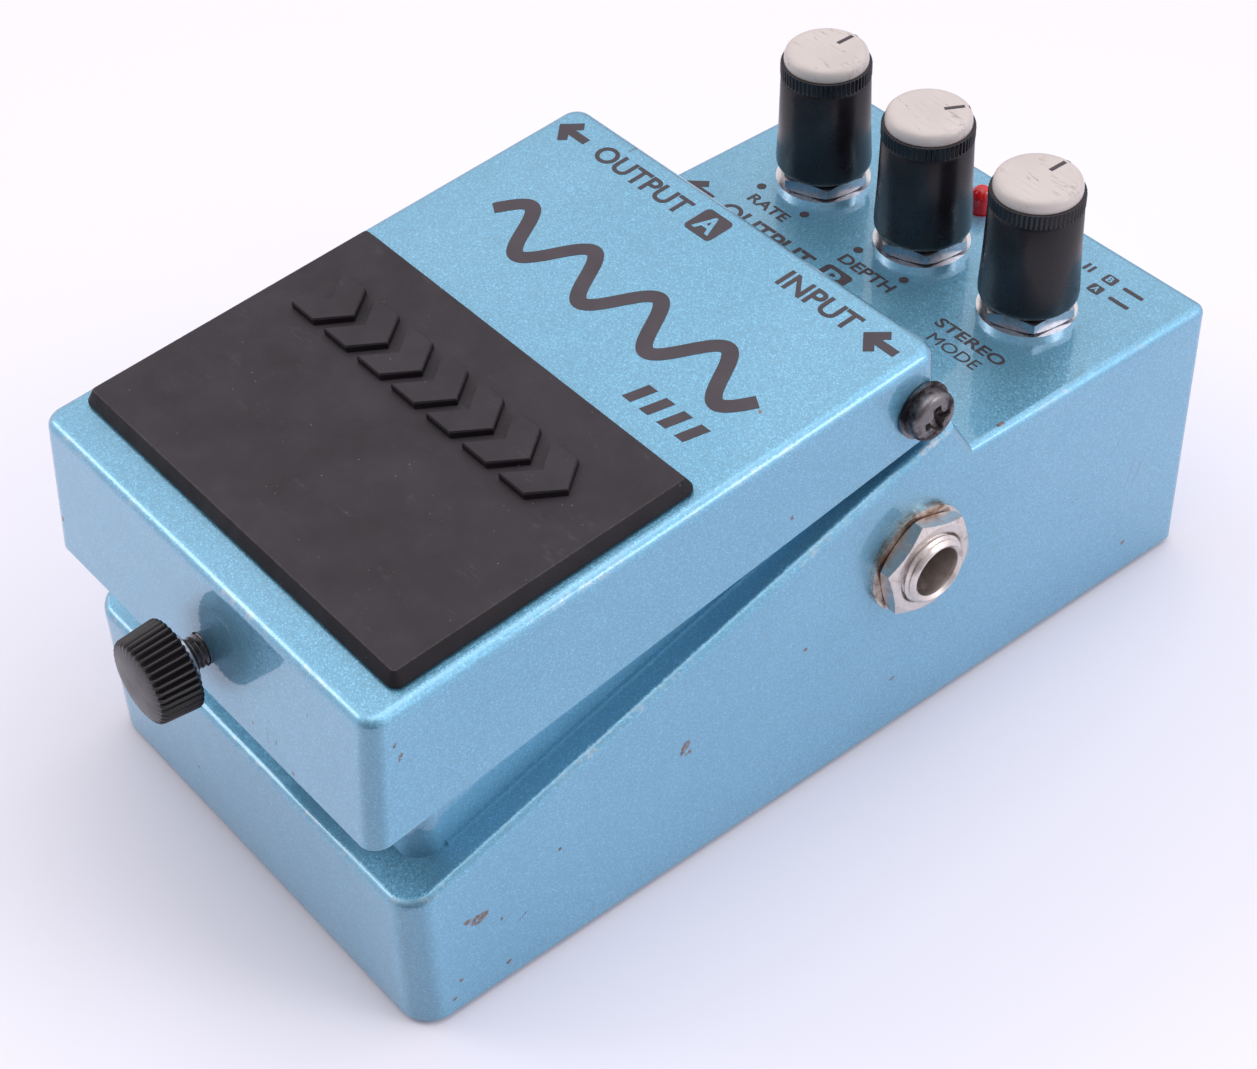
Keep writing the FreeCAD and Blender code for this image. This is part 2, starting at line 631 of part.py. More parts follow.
def make_treadle():
    """Cast treadle: a tray upside down, with three walls and an open rear end."""
    body = new_body("PedalPlate")
    outline = sketch_on(body, "YZ_Plane")
    polygon(outline, [("- plate_front", "plate_top"), ("plate_rear", "plate_top"),
                      ("plate_rear", "- plate_heel_drop"), ("- plate_toe", "- plate_toe_drop")])
    pad(body, outline, "plate_width", symmetric=True)
    side = dim.plate_width / 2

    def flank(edge):
        return upright(edge) and all(abs(abs(p.x) - side) < 0.01 for p in ends(edge))

    def upper(edge):
        return min(p.z for p in ends(edge)) > dim.plate_top - 0.01

    dress(body, "Fillet", "plate_corner", flank)
    dress(body, "Fillet", "plate_edge", upper)
    hollow = sketch_on(body, "YZ_Plane")
    below = "- plate_toe_drop - 9"
    behind = "plate_rear + 6"
    polygon(hollow, [("- plate_front + 2", "plate_top - plate_skin"), (behind, "plate_top - plate_skin"),
                     (behind, below), ("- plate_toe + 1", below)])
    pocket(body, hollow, "plate_width - 2 * plate_wall", symmetric=True)

    # striker over the switch, and the stub that keeps the spring in place
    for hand, radius, drop in (("", "striker_radius", "striker_drop"), ("-", "stub_radius", "stub_drop")):
        boss = sketch_on(body, "XY_Plane", "plate_top - plate_skin")
        circle(boss, hand + " station_x", "( station_y - pivot_y ) + 0.2", radius)
        pad(body, boss, drop, backwards=True)

    # pivot bushes' holes, and the thumbscrew's hole, which is level although the treadle slopes
    pivots = circle(sketch_on(body, "YZ_Plane"), "0", "0", "pivot_bush_radius")
    pocket(body, pivots, "plate_width + 2 * over", symmetric=True)
    ahead = "( plate_toe - 0.2 )"
    level = sketch_on(body, "XZ_Plane", ahead + " * cos( plate_slope )", tilt="- plate_slope")
    level.setExpression(".AttachmentOffset.Base.y", d(ahead + " * sin( plate_slope )"))
    circle(level, "0", "screw_z - pivot_z", "screw_radius + play")
    pocket(body, level, "5")
    node(on_pivot(body), "pedal_plate")


def make_tread_pad():
    pad_body = new_body("TreadPad")
    outline = sketch_on(pad_body, "XY_Plane", "plate_top")
    rectangle(outline, "- pad_half", "pad_half", "- pad_front", "- pad_rear")
    pad(pad_body, outline, "pad_thick")
    dress(pad_body, "Fillet", "pad_corner", upright)
    top = dim.plate_top + dim.pad_thick
    dress(pad_body, "Chamfer", "pad_edge", lambda edge: min(p.z for p in ends(edge)) > top - 0.01)
    node(on_pivot(pad_body), "tread_pad")


def make_foam():
    """Strip under the treadle that keeps the battery from rattling."""
    middle = "( tray_front_y + tray_rear_y ) / 2 - pivot_y"
    foam = new_body("Foam")
    outline = sketch_on(foam, "XY_Plane", "plate_top - plate_skin - foam_thick")
    rectangle(outline, "- foam_half", "foam_half", middle + " - foam_reach", middle + " + foam_reach")
    pad(foam, outline, "foam_thick")
    node(on_pivot(foam), "battery_foam")


def make_hinge():
    """Shoulder screws through the treadle's side walls into the hump's ends, on one axis."""
    screws, washers, bushes = [], [], []
    outer = "plate_width / 2"
    seat = outer + " + pivot_gap + pivot_washer"
    for hand, turn in (("", 90), ("-", -90)):
        at = {"y": "pivot_y", "z": "pivot_z", "axis": (0, 1, 0), "turn": turn}
        shank = cylinder("pivot_radius", seat + " - pivot_shank_end", x=hand + " pivot_shank_end", **at)
        head = doc.addObject("Part::Cylinder", "Head")
        head.setExpression("Radius", d("pivot_head_radius"))
        head.setExpression("Height", d("pivot_head"))
        doc.recompute()
        rounded = doc.addObject("Part::Fillet", "PanHead")
        rounded.Base = head
        rim = [k for k, edge in enumerate(head.Shape.Edges, start=1)
               if edge.Closed and edge.CenterOfMass.z > dim.pivot_head / 2]
        rounded.Edges = [(k, dim.pivot_head_edge, dim.pivot_head_edge) for k in rim]
        place(rounded, x="%s ( %s )" % (hand, seat), **at)
        screws.append(fuse(shank, rounded))
        washers.append(ring("pivot_washer_radius", "pivot_radius + play", "pivot_washer",
                            x="%s ( %s + pivot_gap )" % (hand, outer), **at))
        bushes.append(ring("pivot_bush_radius", "pivot_radius + play", "plate_wall + 0.4",
                           x="%s ( %s - plate_wall - 0.3 )" % (hand, outer), **at))
    node(together(*screws), "pivot_screws")
    node(together(*washers), "pivot_washers")
    node(together(*bushes), "pivot_bushes")


# ---------------------------------------------------------------- thumbscrew

def make_thumbscrew():
    outwards = {"y": "screw_head_y", "z": "screw_z", "axis": (1, 0, 0), "turn": 90}
    head = new_body("ThumbscrewHead")
    revolve(head, [("screw_radius", "0"), ("screw_head_radius - 0.5", "0"), ("screw_head_radius", "0.5"),
                   ("screw_head_radius", "screw_head_length - 0.6"),
                   ("screw_head_radius - 0.6", "screw_head_length"),
                   ("0", "screw_head_length + 0.3"), ("0", "screw_head_length - screw_dish"),
                   ("screw_radius", "screw_head_length - screw_dish")])
    node(place(head, **outwards), "thumbscrew_head")
    length = "screw_tip_y - screw_head_y"
    shaft = new_body("ThumbscrewShaft")
    revolve(shaft, [("0", "- ( %s )" % length), ("screw_radius - 0.6", "- ( %s )" % length),
                    ("screw_radius", "0.6 - ( %s )" % length),
                    ("screw_radius", "screw_head_length - screw_dish"),
                    ("0", "screw_head_length - screw_dish")])
    node(place(shaft, **outwards), "thumbscrew_shaft")
    washer = ring("screw_washer_radius", "screw_radius + play", "screw_washer",
                  y="screw_head_y + 0.15 + screw_washer", z="screw_z", axis=(1, 0, 0), turn=90)
    node(washer, "thumbscrew_washer")

    # plastic guide in the collar's notch; its slot is deep enough for the treadle's stroke
    guide = new_body("GuideBush")
    outline = sketch_on(guide, "XZ_Plane", "0.4 - collar_front_y")
    low = "screw_z - guide_drop"
    slot = low + " + guide_floor"
    top = "collar_front_top"
    polygon(outline, [("- guide_half", low), ("guide_half", low), ("guide_half", top), ("guide_slot", top),
                      ("guide_slot", slot), ("- guide_slot", slot), ("- guide_slot", top),
                      ("- guide_half", top)])
    pad(guide, outline, "guide_thick", backwards=True)
    node(guide, "guide_bush")


# ---------------------------------------------------------------- jacks

def make_jack(name, hand, y):
    """Enclosed socket for a 6.35 mm plug: a threaded bush through the wall and a moulded housing."""
    face = {"y": y, "z": "jack_z", "axis": (0, 1, 0), "turn": 90 if hand == "" else -90}
    at = {"x": hand + " case_width / 2", **face}
    bush = new_body("Bush")
    revolve(bush, [
        ("jack_bore", "- jack_bush_end"), ("jack_thread", "- jack_bush_end"),
        ("jack_thread", "- case_wall - jack_flange_thick"),
        ("jack_thread + jack_flange", "- case_wall - jack_flange_thick"),
        ("jack_thread + jack_flange", "- case_wall"), ("jack_thread", "- case_wall"),
        ("jack_thread", "jack_proud - 0.5"), ("jack_thread - 0.5", "jack_proud"),
        ("jack_bore + 0.4", "jack_proud"), ("jack_bore", "jack_proud - 0.4")])
    node(place(bush, **at), name + "_bush")
    housing = new_body("Housing")
    face_of_housing = "- case_wall - jack_flange_thick"
    outline = sketch_on(housing, "XY_Plane", face_of_housing + " - housing_length")
    rectangle(outline, "- housing_half", "housing_half", "- housing_reach", "housing_reach")
    pad(housing, outline, "housing_length")
    far_wall = face_of_housing + " - housing_length + 2"
    hollow = circle(sketch_on(housing, "XY_Plane", far_wall), "0", "0", "jack_chamber")
    pocket(housing, hollow, "housing_length - 2 + over", backwards=True)
    seat = circle(sketch_on(housing, "XY_Plane", "- jack_bush_end"), "0", "0", "jack_thread")
    pocket(housing, seat, "jack_bush_end - case_wall", backwards=True)
    flat = dim.housing_reach - 0.1
    dress(housing, "Fillet", "1", lambda edge: upright(edge) and all(abs(p.y) > flat for p in ends(edge)))
    node(place(housing, **at), name + "_housing")
    washer = ring("jack_washer_radius", "jack_thread", "jack_washer", **at)
    nut = hex_nut("jack_nut_corner", "jack_thread", "jack_nut",
                  x="%s ( case_width / 2 + jack_washer )" % hand, **face)
    return washer, nut


def make_jacks():
    second = "jack_y + jack_spacing"
    jacks = [("input_jack", "", "jack_y"), ("output_a_jack", "-", "jack_y"), ("output_b_jack", "-", second)]
    fittings = [make_jack(*jack) for jack in jacks]
    node(together(*[washer for washer, _ in fittings]), "jack_washers")
    node(together(*[nut for _, nut in fittings]), "jack_nuts")


def make_power_socket():
    rear = "case_length / 2"
    box = block("12", "14", "12", y=rear + " - case_wall - 7", z="power_z - 6")
    inwards = {"z": "power_z", "axis": (1, 0, 0), "turn": 90}
    barrel = cylinder("power_radius", "case_wall + 1.4", y=rear + " + 0.4", **inwards)
    mouth = cylinder("power_mouth", "power_pin_length + 0.5 + over", y=rear + " + over", **inwards)
    node(cut(fuse(box, barrel), mouth), "power_socket")
    node(cylinder("power_pin_radius", "power_pin_length", y=rear + " - 0.5", **inwards), "power_pin")


# ---------------------------------------------------------------- controls

def make_control(name, x, turn):
    """A panel-mounted control, its shaft, and the knob with its pale cap; returns its washer and nut."""
    at = {"x": x, "y": "knob_y"}
    base = "board_low + board_thick"
    can = block("9.6", "11", "can_height", z=base, **at)
    neck = cylinder("neck_radius", "panel_top + neck_rise - ( %s ) - can_height" % base,
                    z=base + " + can_height", **at)
    bore = cylinder("shaft_radius + play", "knob_top", z=base + " + 1", **at)
    node(cut(fuse(can, neck), bore), name + "_control")
    shaft_low = base + " + 1.3"
    shaft_length = "knob_top - knob_seat - ( %s )" % shaft_low
    node(cylinder("shaft_radius", shaft_length, z=shaft_low, turn=turn, **at), name + "_shaft")
    knob = new_body("Knob")
    height = "knob_top - knob_bottom"
    # radius and height: up the bore, out over the rim, up the slightly tapered skirt, and back
    revolve(knob, [
        ("shaft_radius", "2"), ("4.7", "2"), ("4.7", "0"), ("5.7", "0"), ("6.2", "0.5"), ("6.3", "1.2"),
        ("6.05", "5.5"), ("5.8", "11.5"), ("5.8", height), ("0", height),
        ("0", height + " - knob_seat"), ("shaft_radius", height + " - knob_seat")])
    node(place(knob, z="knob_bottom", turn=turn, **at), name + "_knob")
    cap = new_body("Cap")
    rise = "cap_top - knob_top"
    revolve(cap, [("0", "0"), ("cap_radius", "0"), ("cap_radius", rise + " - 0.9"),
                  ("cap_radius - 0.25", rise + " - 0.3"), ("cap_radius - 0.85", rise), ("0", rise)])
    node(place(cap, z="knob_top", turn=turn, **at), name + "_cap")
    washer = ring("control_washer_radius", "neck_radius", "control_washer", z="panel_top", **at)
    nut = hex_nut("control_nut_corner", "neck_radius", "control_nut", z="panel_top + control_washer",
                  turn=-8.0, **at)
    return washer, nut


def make_controls():
    controls = [("rate", "- knob_pitch", 0.0), ("depth", "0", -30.0), ("mode", "knob_pitch", 0.0)]
    fittings = [make_control(*control) for control in controls]
    node(together(*[washer for washer, _ in fittings]), "control_washers")
    node(together(*[nut for _, nut in fittings]), "control_nuts")


def make_lamp():
    stem = cylinder("lamp_radius", "panel_top + lamp_rise - lamp_low", y="lamp_y", z="lamp_low")
    dome = doc.addObject("Part::Sphere", "Dome")
    dome.setExpression("Radius", d("lamp_radius"))
    place(dome, y="lamp_y", z="panel_top + lamp_rise")
    node(fuse(stem, dome), "lamp")
    spacer = ring("2.4", "0.9", "lamp_low - board_low - board_thick", y="lamp_y", z="board_low + board_thick")
    node(spacer, "lamp_spacer")


make_chassis()
make_base()
make_boards()
make_battery()
make_switch()
make_spring()
make_treadle()
make_tread_pad()
make_foam()
make_hinge()
make_thumbscrew()
make_jacks()
make_power_socket()
make_controls()
make_lamp()
doc.recompute()

for thing in doc.Objects:
    if "Invalid" in thing.State or "Error" in thing.State:
        raise RuntimeError("%s (%s) is %s" % (thing.Name, thing.Label, thing.State))
for thing in nodes:
    if thing.Shape.isNull() or not thing.Shape.isValid() or not thing.Shape.Solids:
        raise RuntimeError(thing.Label + " has no valid solid")

os.makedirs("parts", exist_ok=True)
for thing in nodes:
    thing.Shape.exportStep("parts/%s.step" % thing.Label)
    box = thing.Shape.BoundBox
    print("%-18s solids %2d  volume %9.1f  x %6.2f..%6.2f  y %6.2f..%6.2f  z %6.2f..%6.2f" % (
        thing.Label, len(thing.Shape.Solids), thing.Shape.Volume,
        box.XMin, box.XMax, box.YMin, box.YMax, box.ZMin, box.ZMax))
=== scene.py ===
import json
import math

import bpy
from mathutils import Matrix, Vector

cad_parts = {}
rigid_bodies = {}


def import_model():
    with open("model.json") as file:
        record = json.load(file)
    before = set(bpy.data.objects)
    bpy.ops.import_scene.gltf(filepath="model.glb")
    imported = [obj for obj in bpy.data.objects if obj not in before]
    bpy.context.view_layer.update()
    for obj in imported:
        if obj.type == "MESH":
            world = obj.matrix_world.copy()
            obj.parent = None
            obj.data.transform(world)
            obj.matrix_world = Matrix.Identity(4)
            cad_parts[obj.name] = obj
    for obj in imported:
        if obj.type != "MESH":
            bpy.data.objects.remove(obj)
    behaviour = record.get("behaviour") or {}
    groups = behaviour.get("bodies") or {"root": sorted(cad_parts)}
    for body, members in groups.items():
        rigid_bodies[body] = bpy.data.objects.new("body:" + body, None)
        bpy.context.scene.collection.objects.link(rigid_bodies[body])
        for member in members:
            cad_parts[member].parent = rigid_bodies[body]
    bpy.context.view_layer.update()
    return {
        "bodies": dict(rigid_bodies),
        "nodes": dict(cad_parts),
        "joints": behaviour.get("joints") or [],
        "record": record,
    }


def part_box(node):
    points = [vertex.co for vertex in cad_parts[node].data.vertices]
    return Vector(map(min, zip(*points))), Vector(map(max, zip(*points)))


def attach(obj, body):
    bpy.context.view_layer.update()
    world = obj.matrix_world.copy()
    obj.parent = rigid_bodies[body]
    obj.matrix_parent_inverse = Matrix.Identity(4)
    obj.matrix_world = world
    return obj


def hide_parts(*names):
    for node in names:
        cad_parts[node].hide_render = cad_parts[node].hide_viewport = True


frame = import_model()
nodes = frame["nodes"]
scene = bpy.context.scene
MM = 0.001

# ------------------------------------------------------------------ places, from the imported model

hinge = {j["name"]: j for j in frame["joints"]}["treadle_hinge"]["pos_m"]
TREADLE_SLOPE = math.radians(4.94)
TREADLE_TOP = 7.4          # the treadle's top above the hinge axis, square to the top, in mm
PANEL_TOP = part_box("control_washers")[0][2] / MM
CASE_SIDE = 33.0           # the case's side walls are this far from the middle, in mm
WASHER_THICK = 0.7         # the washers under the jacks' and the controls' nuts, in mm


def on_treadle():
    """Row frame from the treadle's own frame: X across, Y along its top, Z square to it, in mm."""
    return Matrix.Translation(hinge) @ Matrix.Rotation(TREADLE_SLOPE, 4, "X") @ Matrix.Scale(MM, 4)


def facing(origin, direction, turn=0.0):
    """Row frame, from mm, of something whose Z looks along a direction, turned about it in degrees.

    Its Y is upright, or points to the rear where Z itself is upright."""
    z = Vector(direction).normalized()
    y = Vector((0, 1, 0)) if abs(z.z) > 0.99 else Vector((0, 0, 1))
    x = y.cross(z).normalized()
    look = Matrix((x, z.cross(x), z)).transposed().to_4x4()
    spin = Matrix.Rotation(math.radians(turn), 4, "Z")
    return Matrix.Translation(Vector(origin) * MM) @ look @ spin @ Matrix.Scale(MM, 4)


def middle(node):
    low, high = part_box(node)
    return (Vector(low) + Vector(high)) / 2 / MM


# ------------------------------------------------------------------ shapes

class Shape:
    """Vertices and faces gathered from several simple forms."""

    def __init__(self):
        self.points = []
        self.faces = []

    def add(self, points, faces, frame=None):
        start = len(self.points)
        self.points += [tuple(frame @ Vector(p)) if frame else tuple(p) for p in points]
        self.faces += [tuple(start + k for k in face) for face in faces]
        return self

    def lathe(self, profile, steps, frame, ripple=None):
        """Turn (radius, height) points about Z; ripple(point, angle) is added to the radius."""
        points, rings = [], []
        for number, (radius, height) in enumerate(profile):
            if radius == 0:
                rings.append([len(points)])
                points.append((0, 0, height))
                continue
            rings.append(range(len(points), len(points) + steps))
            for k in range(steps):
                angle = 2 * math.pi * k / steps
                r = radius + (ripple(number, angle) if ripple else 0)
                points.append((r * math.cos(angle), r * math.sin(angle), height))
        faces = []
        for a, b in zip(rings, rings[1:]):
            for k in range(steps):
                n = (k + 1) % steps
                if len(a) == 1:
                    faces.append((a[0], b[n], b[k]))
                elif len(b) == 1:
                    faces.append((a[k], a[n], b[0]))
                else:
                    faces.append((a[k], a[n], b[n], b[k]))
        return self.add(points, faces, frame)

    def slab(self, outline, low, high, frame):
        """A flat prism on an outline, counter-clockwise from above."""
        n = len(outline)
        points = [(x, y, low) for x, y in outline] + [(x, y, high) for x, y in outline]
        faces = [tuple(reversed(range(n))), tuple(range(n, 2 * n))]
        faces += [(k, (k + 1) % n, n + (k + 1) % n, n + k) for k in range(n)]
        return self.add(points, faces, frame)

    def ribbon(self, path, width, low, high, frame):
        """A flat band along a path of points."""
        left, right = [], []
        for k, point in enumerate(path):
            before, after = path[max(k - 1, 0)], path[min(k + 1, len(path) - 1)]
            along = Vector((after[0] - before[0], after[1] - before[1])).normalized()
            side = Vector((-along.y, along.x)) * width / 2
            left.append((point[0] + side.x, point[1] + side.y))
            right.append((point[0] - side.x, point[1] - side.y))
        n = len(path)
        points = [(x, y, z) for z in (low, high) for line in (left, right) for x, y in line]
        faces = []
        for k in range(n - 1):
            faces.append((2 * n + k, 3 * n + k, 3 * n + k + 1, 2 * n + k + 1))
            faces.append((k, k + 1, n + k + 1, n + k))
            faces.append((k, 2 * n + k, 2 * n + k + 1, k + 1))
            faces.append((n + k, n + k + 1, 3 * n + k + 1, 3 * n + k))
        for k, flip in ((0, False), (n - 1, True)):
            face = (k, n + k, 3 * n + k, 2 * n + k)
            faces.append(tuple(reversed(face)) if flip else face)
        return self.add(points, faces, frame)

    def letters(self, text, low, high, box, frame, weight=0.022):
        """Flat lettering that fills a box (x0, y0, x1, y1), fattened by a weight."""
        curve = bpy.data.curves.new("letters", "FONT")
        curve.body = text
        curve.extrude = (high - low) / 2
        curve.resolution_u = 4
        curve.offset = weight
        holder = bpy.data.objects.new("letters", curve)
        scene.collection.objects.link(holder)
        graph = bpy.context.evaluated_depsgraph_get()
        mesh = bpy.data.meshes.new_from_object(holder.evaluated_get(graph))
        xs = [v.co.x for v in mesh.vertices]
        ys = [v.co.y for v in mesh.vertices]
        wide = (box[2] - box[0]) / (max(xs) - min(xs))
        tall = (box[3] - box[1]) / (max(ys) - min(ys))
        points = [(box[0] + (v.co.x - min(xs)) * wide, box[1] + (v.co.y - min(ys)) * tall,
                   v.co.z + (low + high) / 2) for v in mesh.vertices]
        faces = [tuple(p.vertices) for p in mesh.polygons]
        bpy.data.objects.remove(holder)
        bpy.data.curves.remove(curve)
        bpy.data.meshes.remove(mesh)
        return self.add(points, faces, frame)


def piece(name, shape, material, body, replaces=(), crease=35):
    """Make a piece of the object from a shape."""
    mesh = bpy.data.meshes.new(name)
    mesh.from_pydata(shape.points, [], shape.faces)
    mesh.validate()
    mesh.materials.append(material)
    made = bpy.data.objects.new(name, mesh)
    scene.collection.objects.link(made)
    mesh.shade_smooth()
    mesh.set_sharp_from_angle(angle=math.radians(crease))
    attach(made, body)
    if replaces:
        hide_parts(*replaces)


# ------------------------------------------------------------------ materials

class Finish:
    """A procedural material: sizes are in millimetres, on the row frame's own coordinates."""

    def __init__(self, name, **constants):
        self.material = bpy.data.materials.new(name)
        self.material.use_nodes = True
        self.tree = self.material.node_tree
        self.tree.nodes.clear()
        out = self.tree.nodes.new("ShaderNodeOutputMaterial")
        self.bsdf = self.tree.nodes.new("ShaderNodeBsdfPrincipled")
        self.tree.links.new(self.bsdf.outputs["BSDF"], out.inputs["Surface"])
        self.place = self.tree.nodes.new("ShaderNodeTexCoord").outputs["Object"]
        self.set(**constants)

    def set(self, **values):
        for key, value in values.items():
            self.put(self.bsdf.inputs[key.replace("_", " ")], value)

    def put(self, socket, value):
        if isinstance(value, bpy.types.NodeSocket):
            self.tree.links.new(value, socket)
        elif isinstance(value, tuple) and len(value) == 3 and socket.type == "RGBA":
            socket.default_value = (*value, 1)
        else:
            socket.default_value = value

    def node(self, kind, inputs, **settings):
        made = self.tree.nodes.new("ShaderNode" + kind)
        for key, value in settings.items():
            setattr(made, key, value)
        for key, value in inputs.items():
            self.put(made.inputs[key], value)
        return made

    def stretched(self, x, y, z):
        """Coordinates on which a pattern is x, y, z times longer along each axis."""
        inputs = {"Vector": self.place, "Scale": (1 / x, 1 / y, 1 / z)}
        return self.node("Mapping", inputs).outputs["Vector"]

    def noise(self, size, detail=2.0, roughness=0.5, vector=None, output="Fac"):
        inputs = {"Vector": vector or self.place, "Scale": 1 / (size * MM), "Detail": detail,
                  "Roughness": roughness}
        return self.node("TexNoise", inputs).outputs[output]

    def cells(self, size, output="Color"):
        return self.node("TexVoronoi", {"Vector": self.place, "Scale": 1 / (size * MM)}).outputs[output]

    def ramp(self, value, *stops):
        made = self.node("ValToRGB", {"Fac": value})
        elements = made.color_ramp.elements
        while len(elements) < len(stops):
            elements.new(0.5)
        for element, (position, colour) in zip(elements, stops):
            element.position = position
            element.color = (*colour, 1) if isinstance(colour, tuple) else (colour, colour, colour, 1)
        return made.outputs["Color"]

    def math(self, operation, a, b=0.0):
        return self.node("Math", {0: a, 1: b}, operation=operation).outputs[0]

    def vector(self, operation, a, b=(0, 0, 0), output="Vector"):
        return self.node("VectorMath", {0: a, 1: b}, operation=operation).outputs[output]

    def mix(self, factor, a, b):
        return self.node("Mix", {0: factor, 6: a, 7: b}, data_type="RGBA").outputs[2]

    def multiply(self, a, b):
        inputs = {0: 1.0, 6: a, 7: b}
        return self.node("Mix", inputs, data_type="RGBA", blend_type="MULTIPLY").outputs[2]

    def shrink(self, vector, share):
        """A vector scaled by a constant."""
        made = self.node("VectorMath", {0: vector}, operation="SCALE")
        made.inputs["Scale"].default_value = share
        return made.outputs["Vector"]

    def own_normal(self):
        """The surface's direction in the row frame, which stays with a body in every pose."""
        return self.node("TexCoord", {}).outputs["Normal"]

    def bump(self, height, depth):
        """Relief of a height map, whose full range is a depth in millimetres."""
        inputs = {"Height": height, "Distance": depth * MM, "Strength": 1.0}
        return self.node("Bump", inputs).outputs["Normal"]

    def blots(self, places, ragged=0.8):
        """1 inside small ragged blots: (x, y, z, half length, half width, slant in degrees about X)."""
        spread = self.vector("SUBTRACT", self.noise(0.9, 3.0, output="Color"), (0.5, 0.5, 0.5))
        wobble = self.shrink(spread, ragged * MM)
        near = None
        for x, y, z, long, short, slant in places:
            at = self.vector("ADD", self.place, wobble)
            inputs = {"Vector": at, "Location": (x * MM, y * MM, z * MM),
                      "Rotation": (math.radians(slant), 0, 0), "Scale": (short * MM, long * MM, short * MM)}
            local = self.node("Mapping", inputs, vector_type="TEXTURE").outputs["Vector"]
            reach = self.vector("LENGTH", local, output="Value")
            near = self.math("MINIMUM", near, reach) if near else reach
        solid = self.ramp(near, (0.75, 1.0), (1.0, 0.0))
        broken = self.ramp(self.noise(0.45, 4.0, 0.7), (0.36, 0.0), (0.46, 1.0))
        return self.math("MULTIPLY", solid, broken)


def paint(name, blots, scratches):
    """Sky-blue enamel full of fine metal flake, under a gloss coat, with chips down to the casting."""
    made = Finish(name, Coat_Weight=1.0, Coat_Roughness=0.05, Coat_IOR=1.6)
    flake = made.cells(0.14)
    tone = made.ramp(made.noise(30, 3.0), (0.35, (0.160, 0.424, 0.602)), (0.65, (0.183, 0.453, 0.634)))
    # painted glints: a random share of the flakes is coloured brighter, standing in for their sparkle
    painted_glint = made.node("SeparateColor", {0: flake}).outputs[0]
    light = made.ramp(painted_glint, (0.0, 0.84), (0.80, 1.0), (1.0, 1.30))
    blue = made.multiply(tone, light)
    tilt = made.shrink(made.vector("SUBTRACT", flake, (0.5, 0.5, 0.5)), 0.17)
    normal = made.node("NewGeometry", {}).outputs["Normal"]
    flaked = made.vector("NORMALIZE", made.vector("ADD", normal, tilt))
    peel = made.bump(made.noise(1.4, 1.0), 0.004)
    chip = made.blots(blots)
    line = made.blots(scratches, 0.15)
    bare = made.ramp(made.noise(0.5, 3.0), (0.35, (0.045, 0.032, 0.032)), (0.7, (0.27, 0.20, 0.18)))
    grime = made.ramp(made.noise(5.0, 6.0, 0.7), (0.60, 0.0), (0.80, 0.22))
    aged = made.mix(grime, blue, (0.13, 0.27, 0.34))
    # the rounded edges: pale along the top, partly wear and partly a painted highlight; darker down the
    # vertical corners, which is painted shade
    shape = made.node("SeparateXYZ", {0: made.own_normal()}).outputs
    top_edge = made.ramp(shape[2], (0.28, 0.0), (0.50, 1.0), (0.82, 1.0), (0.93, 0.0))
    patchy = made.math("MULTIPLY", made.ramp(made.noise(1.1, 4.0, 0.7), (0.46, 0.0), (0.66, 1.0)),
                       made.ramp(made.noise(13, 3.0), (0.46, 0.0), (0.60, 1.0)))
    rub_and_highlight = made.math("MULTIPLY", top_edge, patchy)
    # painted shade: faces turned diagonally between front and side are coloured darker, as dark corner
    # stripes
    across = made.math("ABSOLUTE", made.math("MULTIPLY", shape[0], shape[1]), 0.0)
    corner = made.ramp(across, (0.12, 0.0), (0.42, 0.42))
    corner_shaded = made.mix(corner, aged, (0.045, 0.115, 0.17))
    # wear and painted highlight: a patchy pale blue along the upper edges
    rubbed_and_highlit = made.mix(made.math("MULTIPLY", rub_and_highlight, 0.7), corner_shaded, (0.50, 0.55, 0.60))
    colour = made.mix(line, made.mix(chip, rubbed_and_highlit, bare), (0.12, 0.17, 0.22))
    metal = made.math("SUBTRACT", 0.72, made.math("MULTIPLY", chip, 0.5))
    smooth = made.ramp(made.noise(4, 4.0), (0.3, 0.40), (0.7, 0.46))
    rough = made.math("ADD", smooth, made.math("MULTIPLY", chip, 0.3))
    made.set(Base_Color=colour, Metallic=metal, Roughness=rough, Normal=flaked, Coat_Normal=peel)
    return made.material


def tread_rubber():
    """Dusty rubber, scuffed on top; its bevel is clean of scuffs and painted darker as shade, and the pale
    line along its edge is partly chafing, partly a painted highlight.
    """
    made = Finish("tread_rubber", Specular_IOR_Level=0.3)
    tone = made.ramp(made.noise(9, 5.0, 0.6), (0.3, (0.019, 0.016, 0.020)), (0.7, (0.033, 0.028, 0.034)))
    scuff = made.ramp(made.noise(2.2, 6.0, 0.75, made.stretched(3.0, 1.0, 1.0)), (0.60, 0.0), (0.78, 0.55))
    worn = made.mix(scuff, tone, (0.09, 0.08, 0.09))
    dust = made.ramp(made.cells(1.5, "Distance"), (0.0, 1.0), (0.075, 0.0))
    some = made.ramp(made.noise(5.5, 3.0), (0.46, 0.0), (0.58, 1.0))
    rise = made.node("SeparateXYZ", {0: made.own_normal()}).outputs[2]
    # chafing and a painted highlight: a pale line where the bevel rounds over onto the top
    edge = made.ramp(rise, (0.60, 0.0), (0.72, 1.0), (0.95, 1.0), (0.99, 0.0))
    chafe_and_painted_highlight = made.math("MULTIPLY", edge, made.ramp(made.noise(0.5, 4.0, 0.7), (0.35, 0.02), (0.75, 0.20)))
    # painted shade: the bevel, tilted down from the top, is coloured nearly black
    tone_with_painted_bevel_shade = made.mix(made.ramp(rise, (0.72, 0.0), (0.95, 1.0)), (0.008, 0.006, 0.008), worn)
    dust_and_edge_highlight = made.math("MAXIMUM", made.math("MULTIPLY", dust, some), chafe_and_painted_highlight)
    made.set(Base_Color=made.mix(dust_and_edge_highlight, tone_with_painted_bevel_shade, (0.24, 0.205, 0.195)),
             Roughness=made.ramp(made.noise(3, 4.0), (0.3, 0.50), (0.7, 0.66)),
             Normal=made.bump(made.noise(0.35, 3.0, 0.6), 0.045))
    return made.material


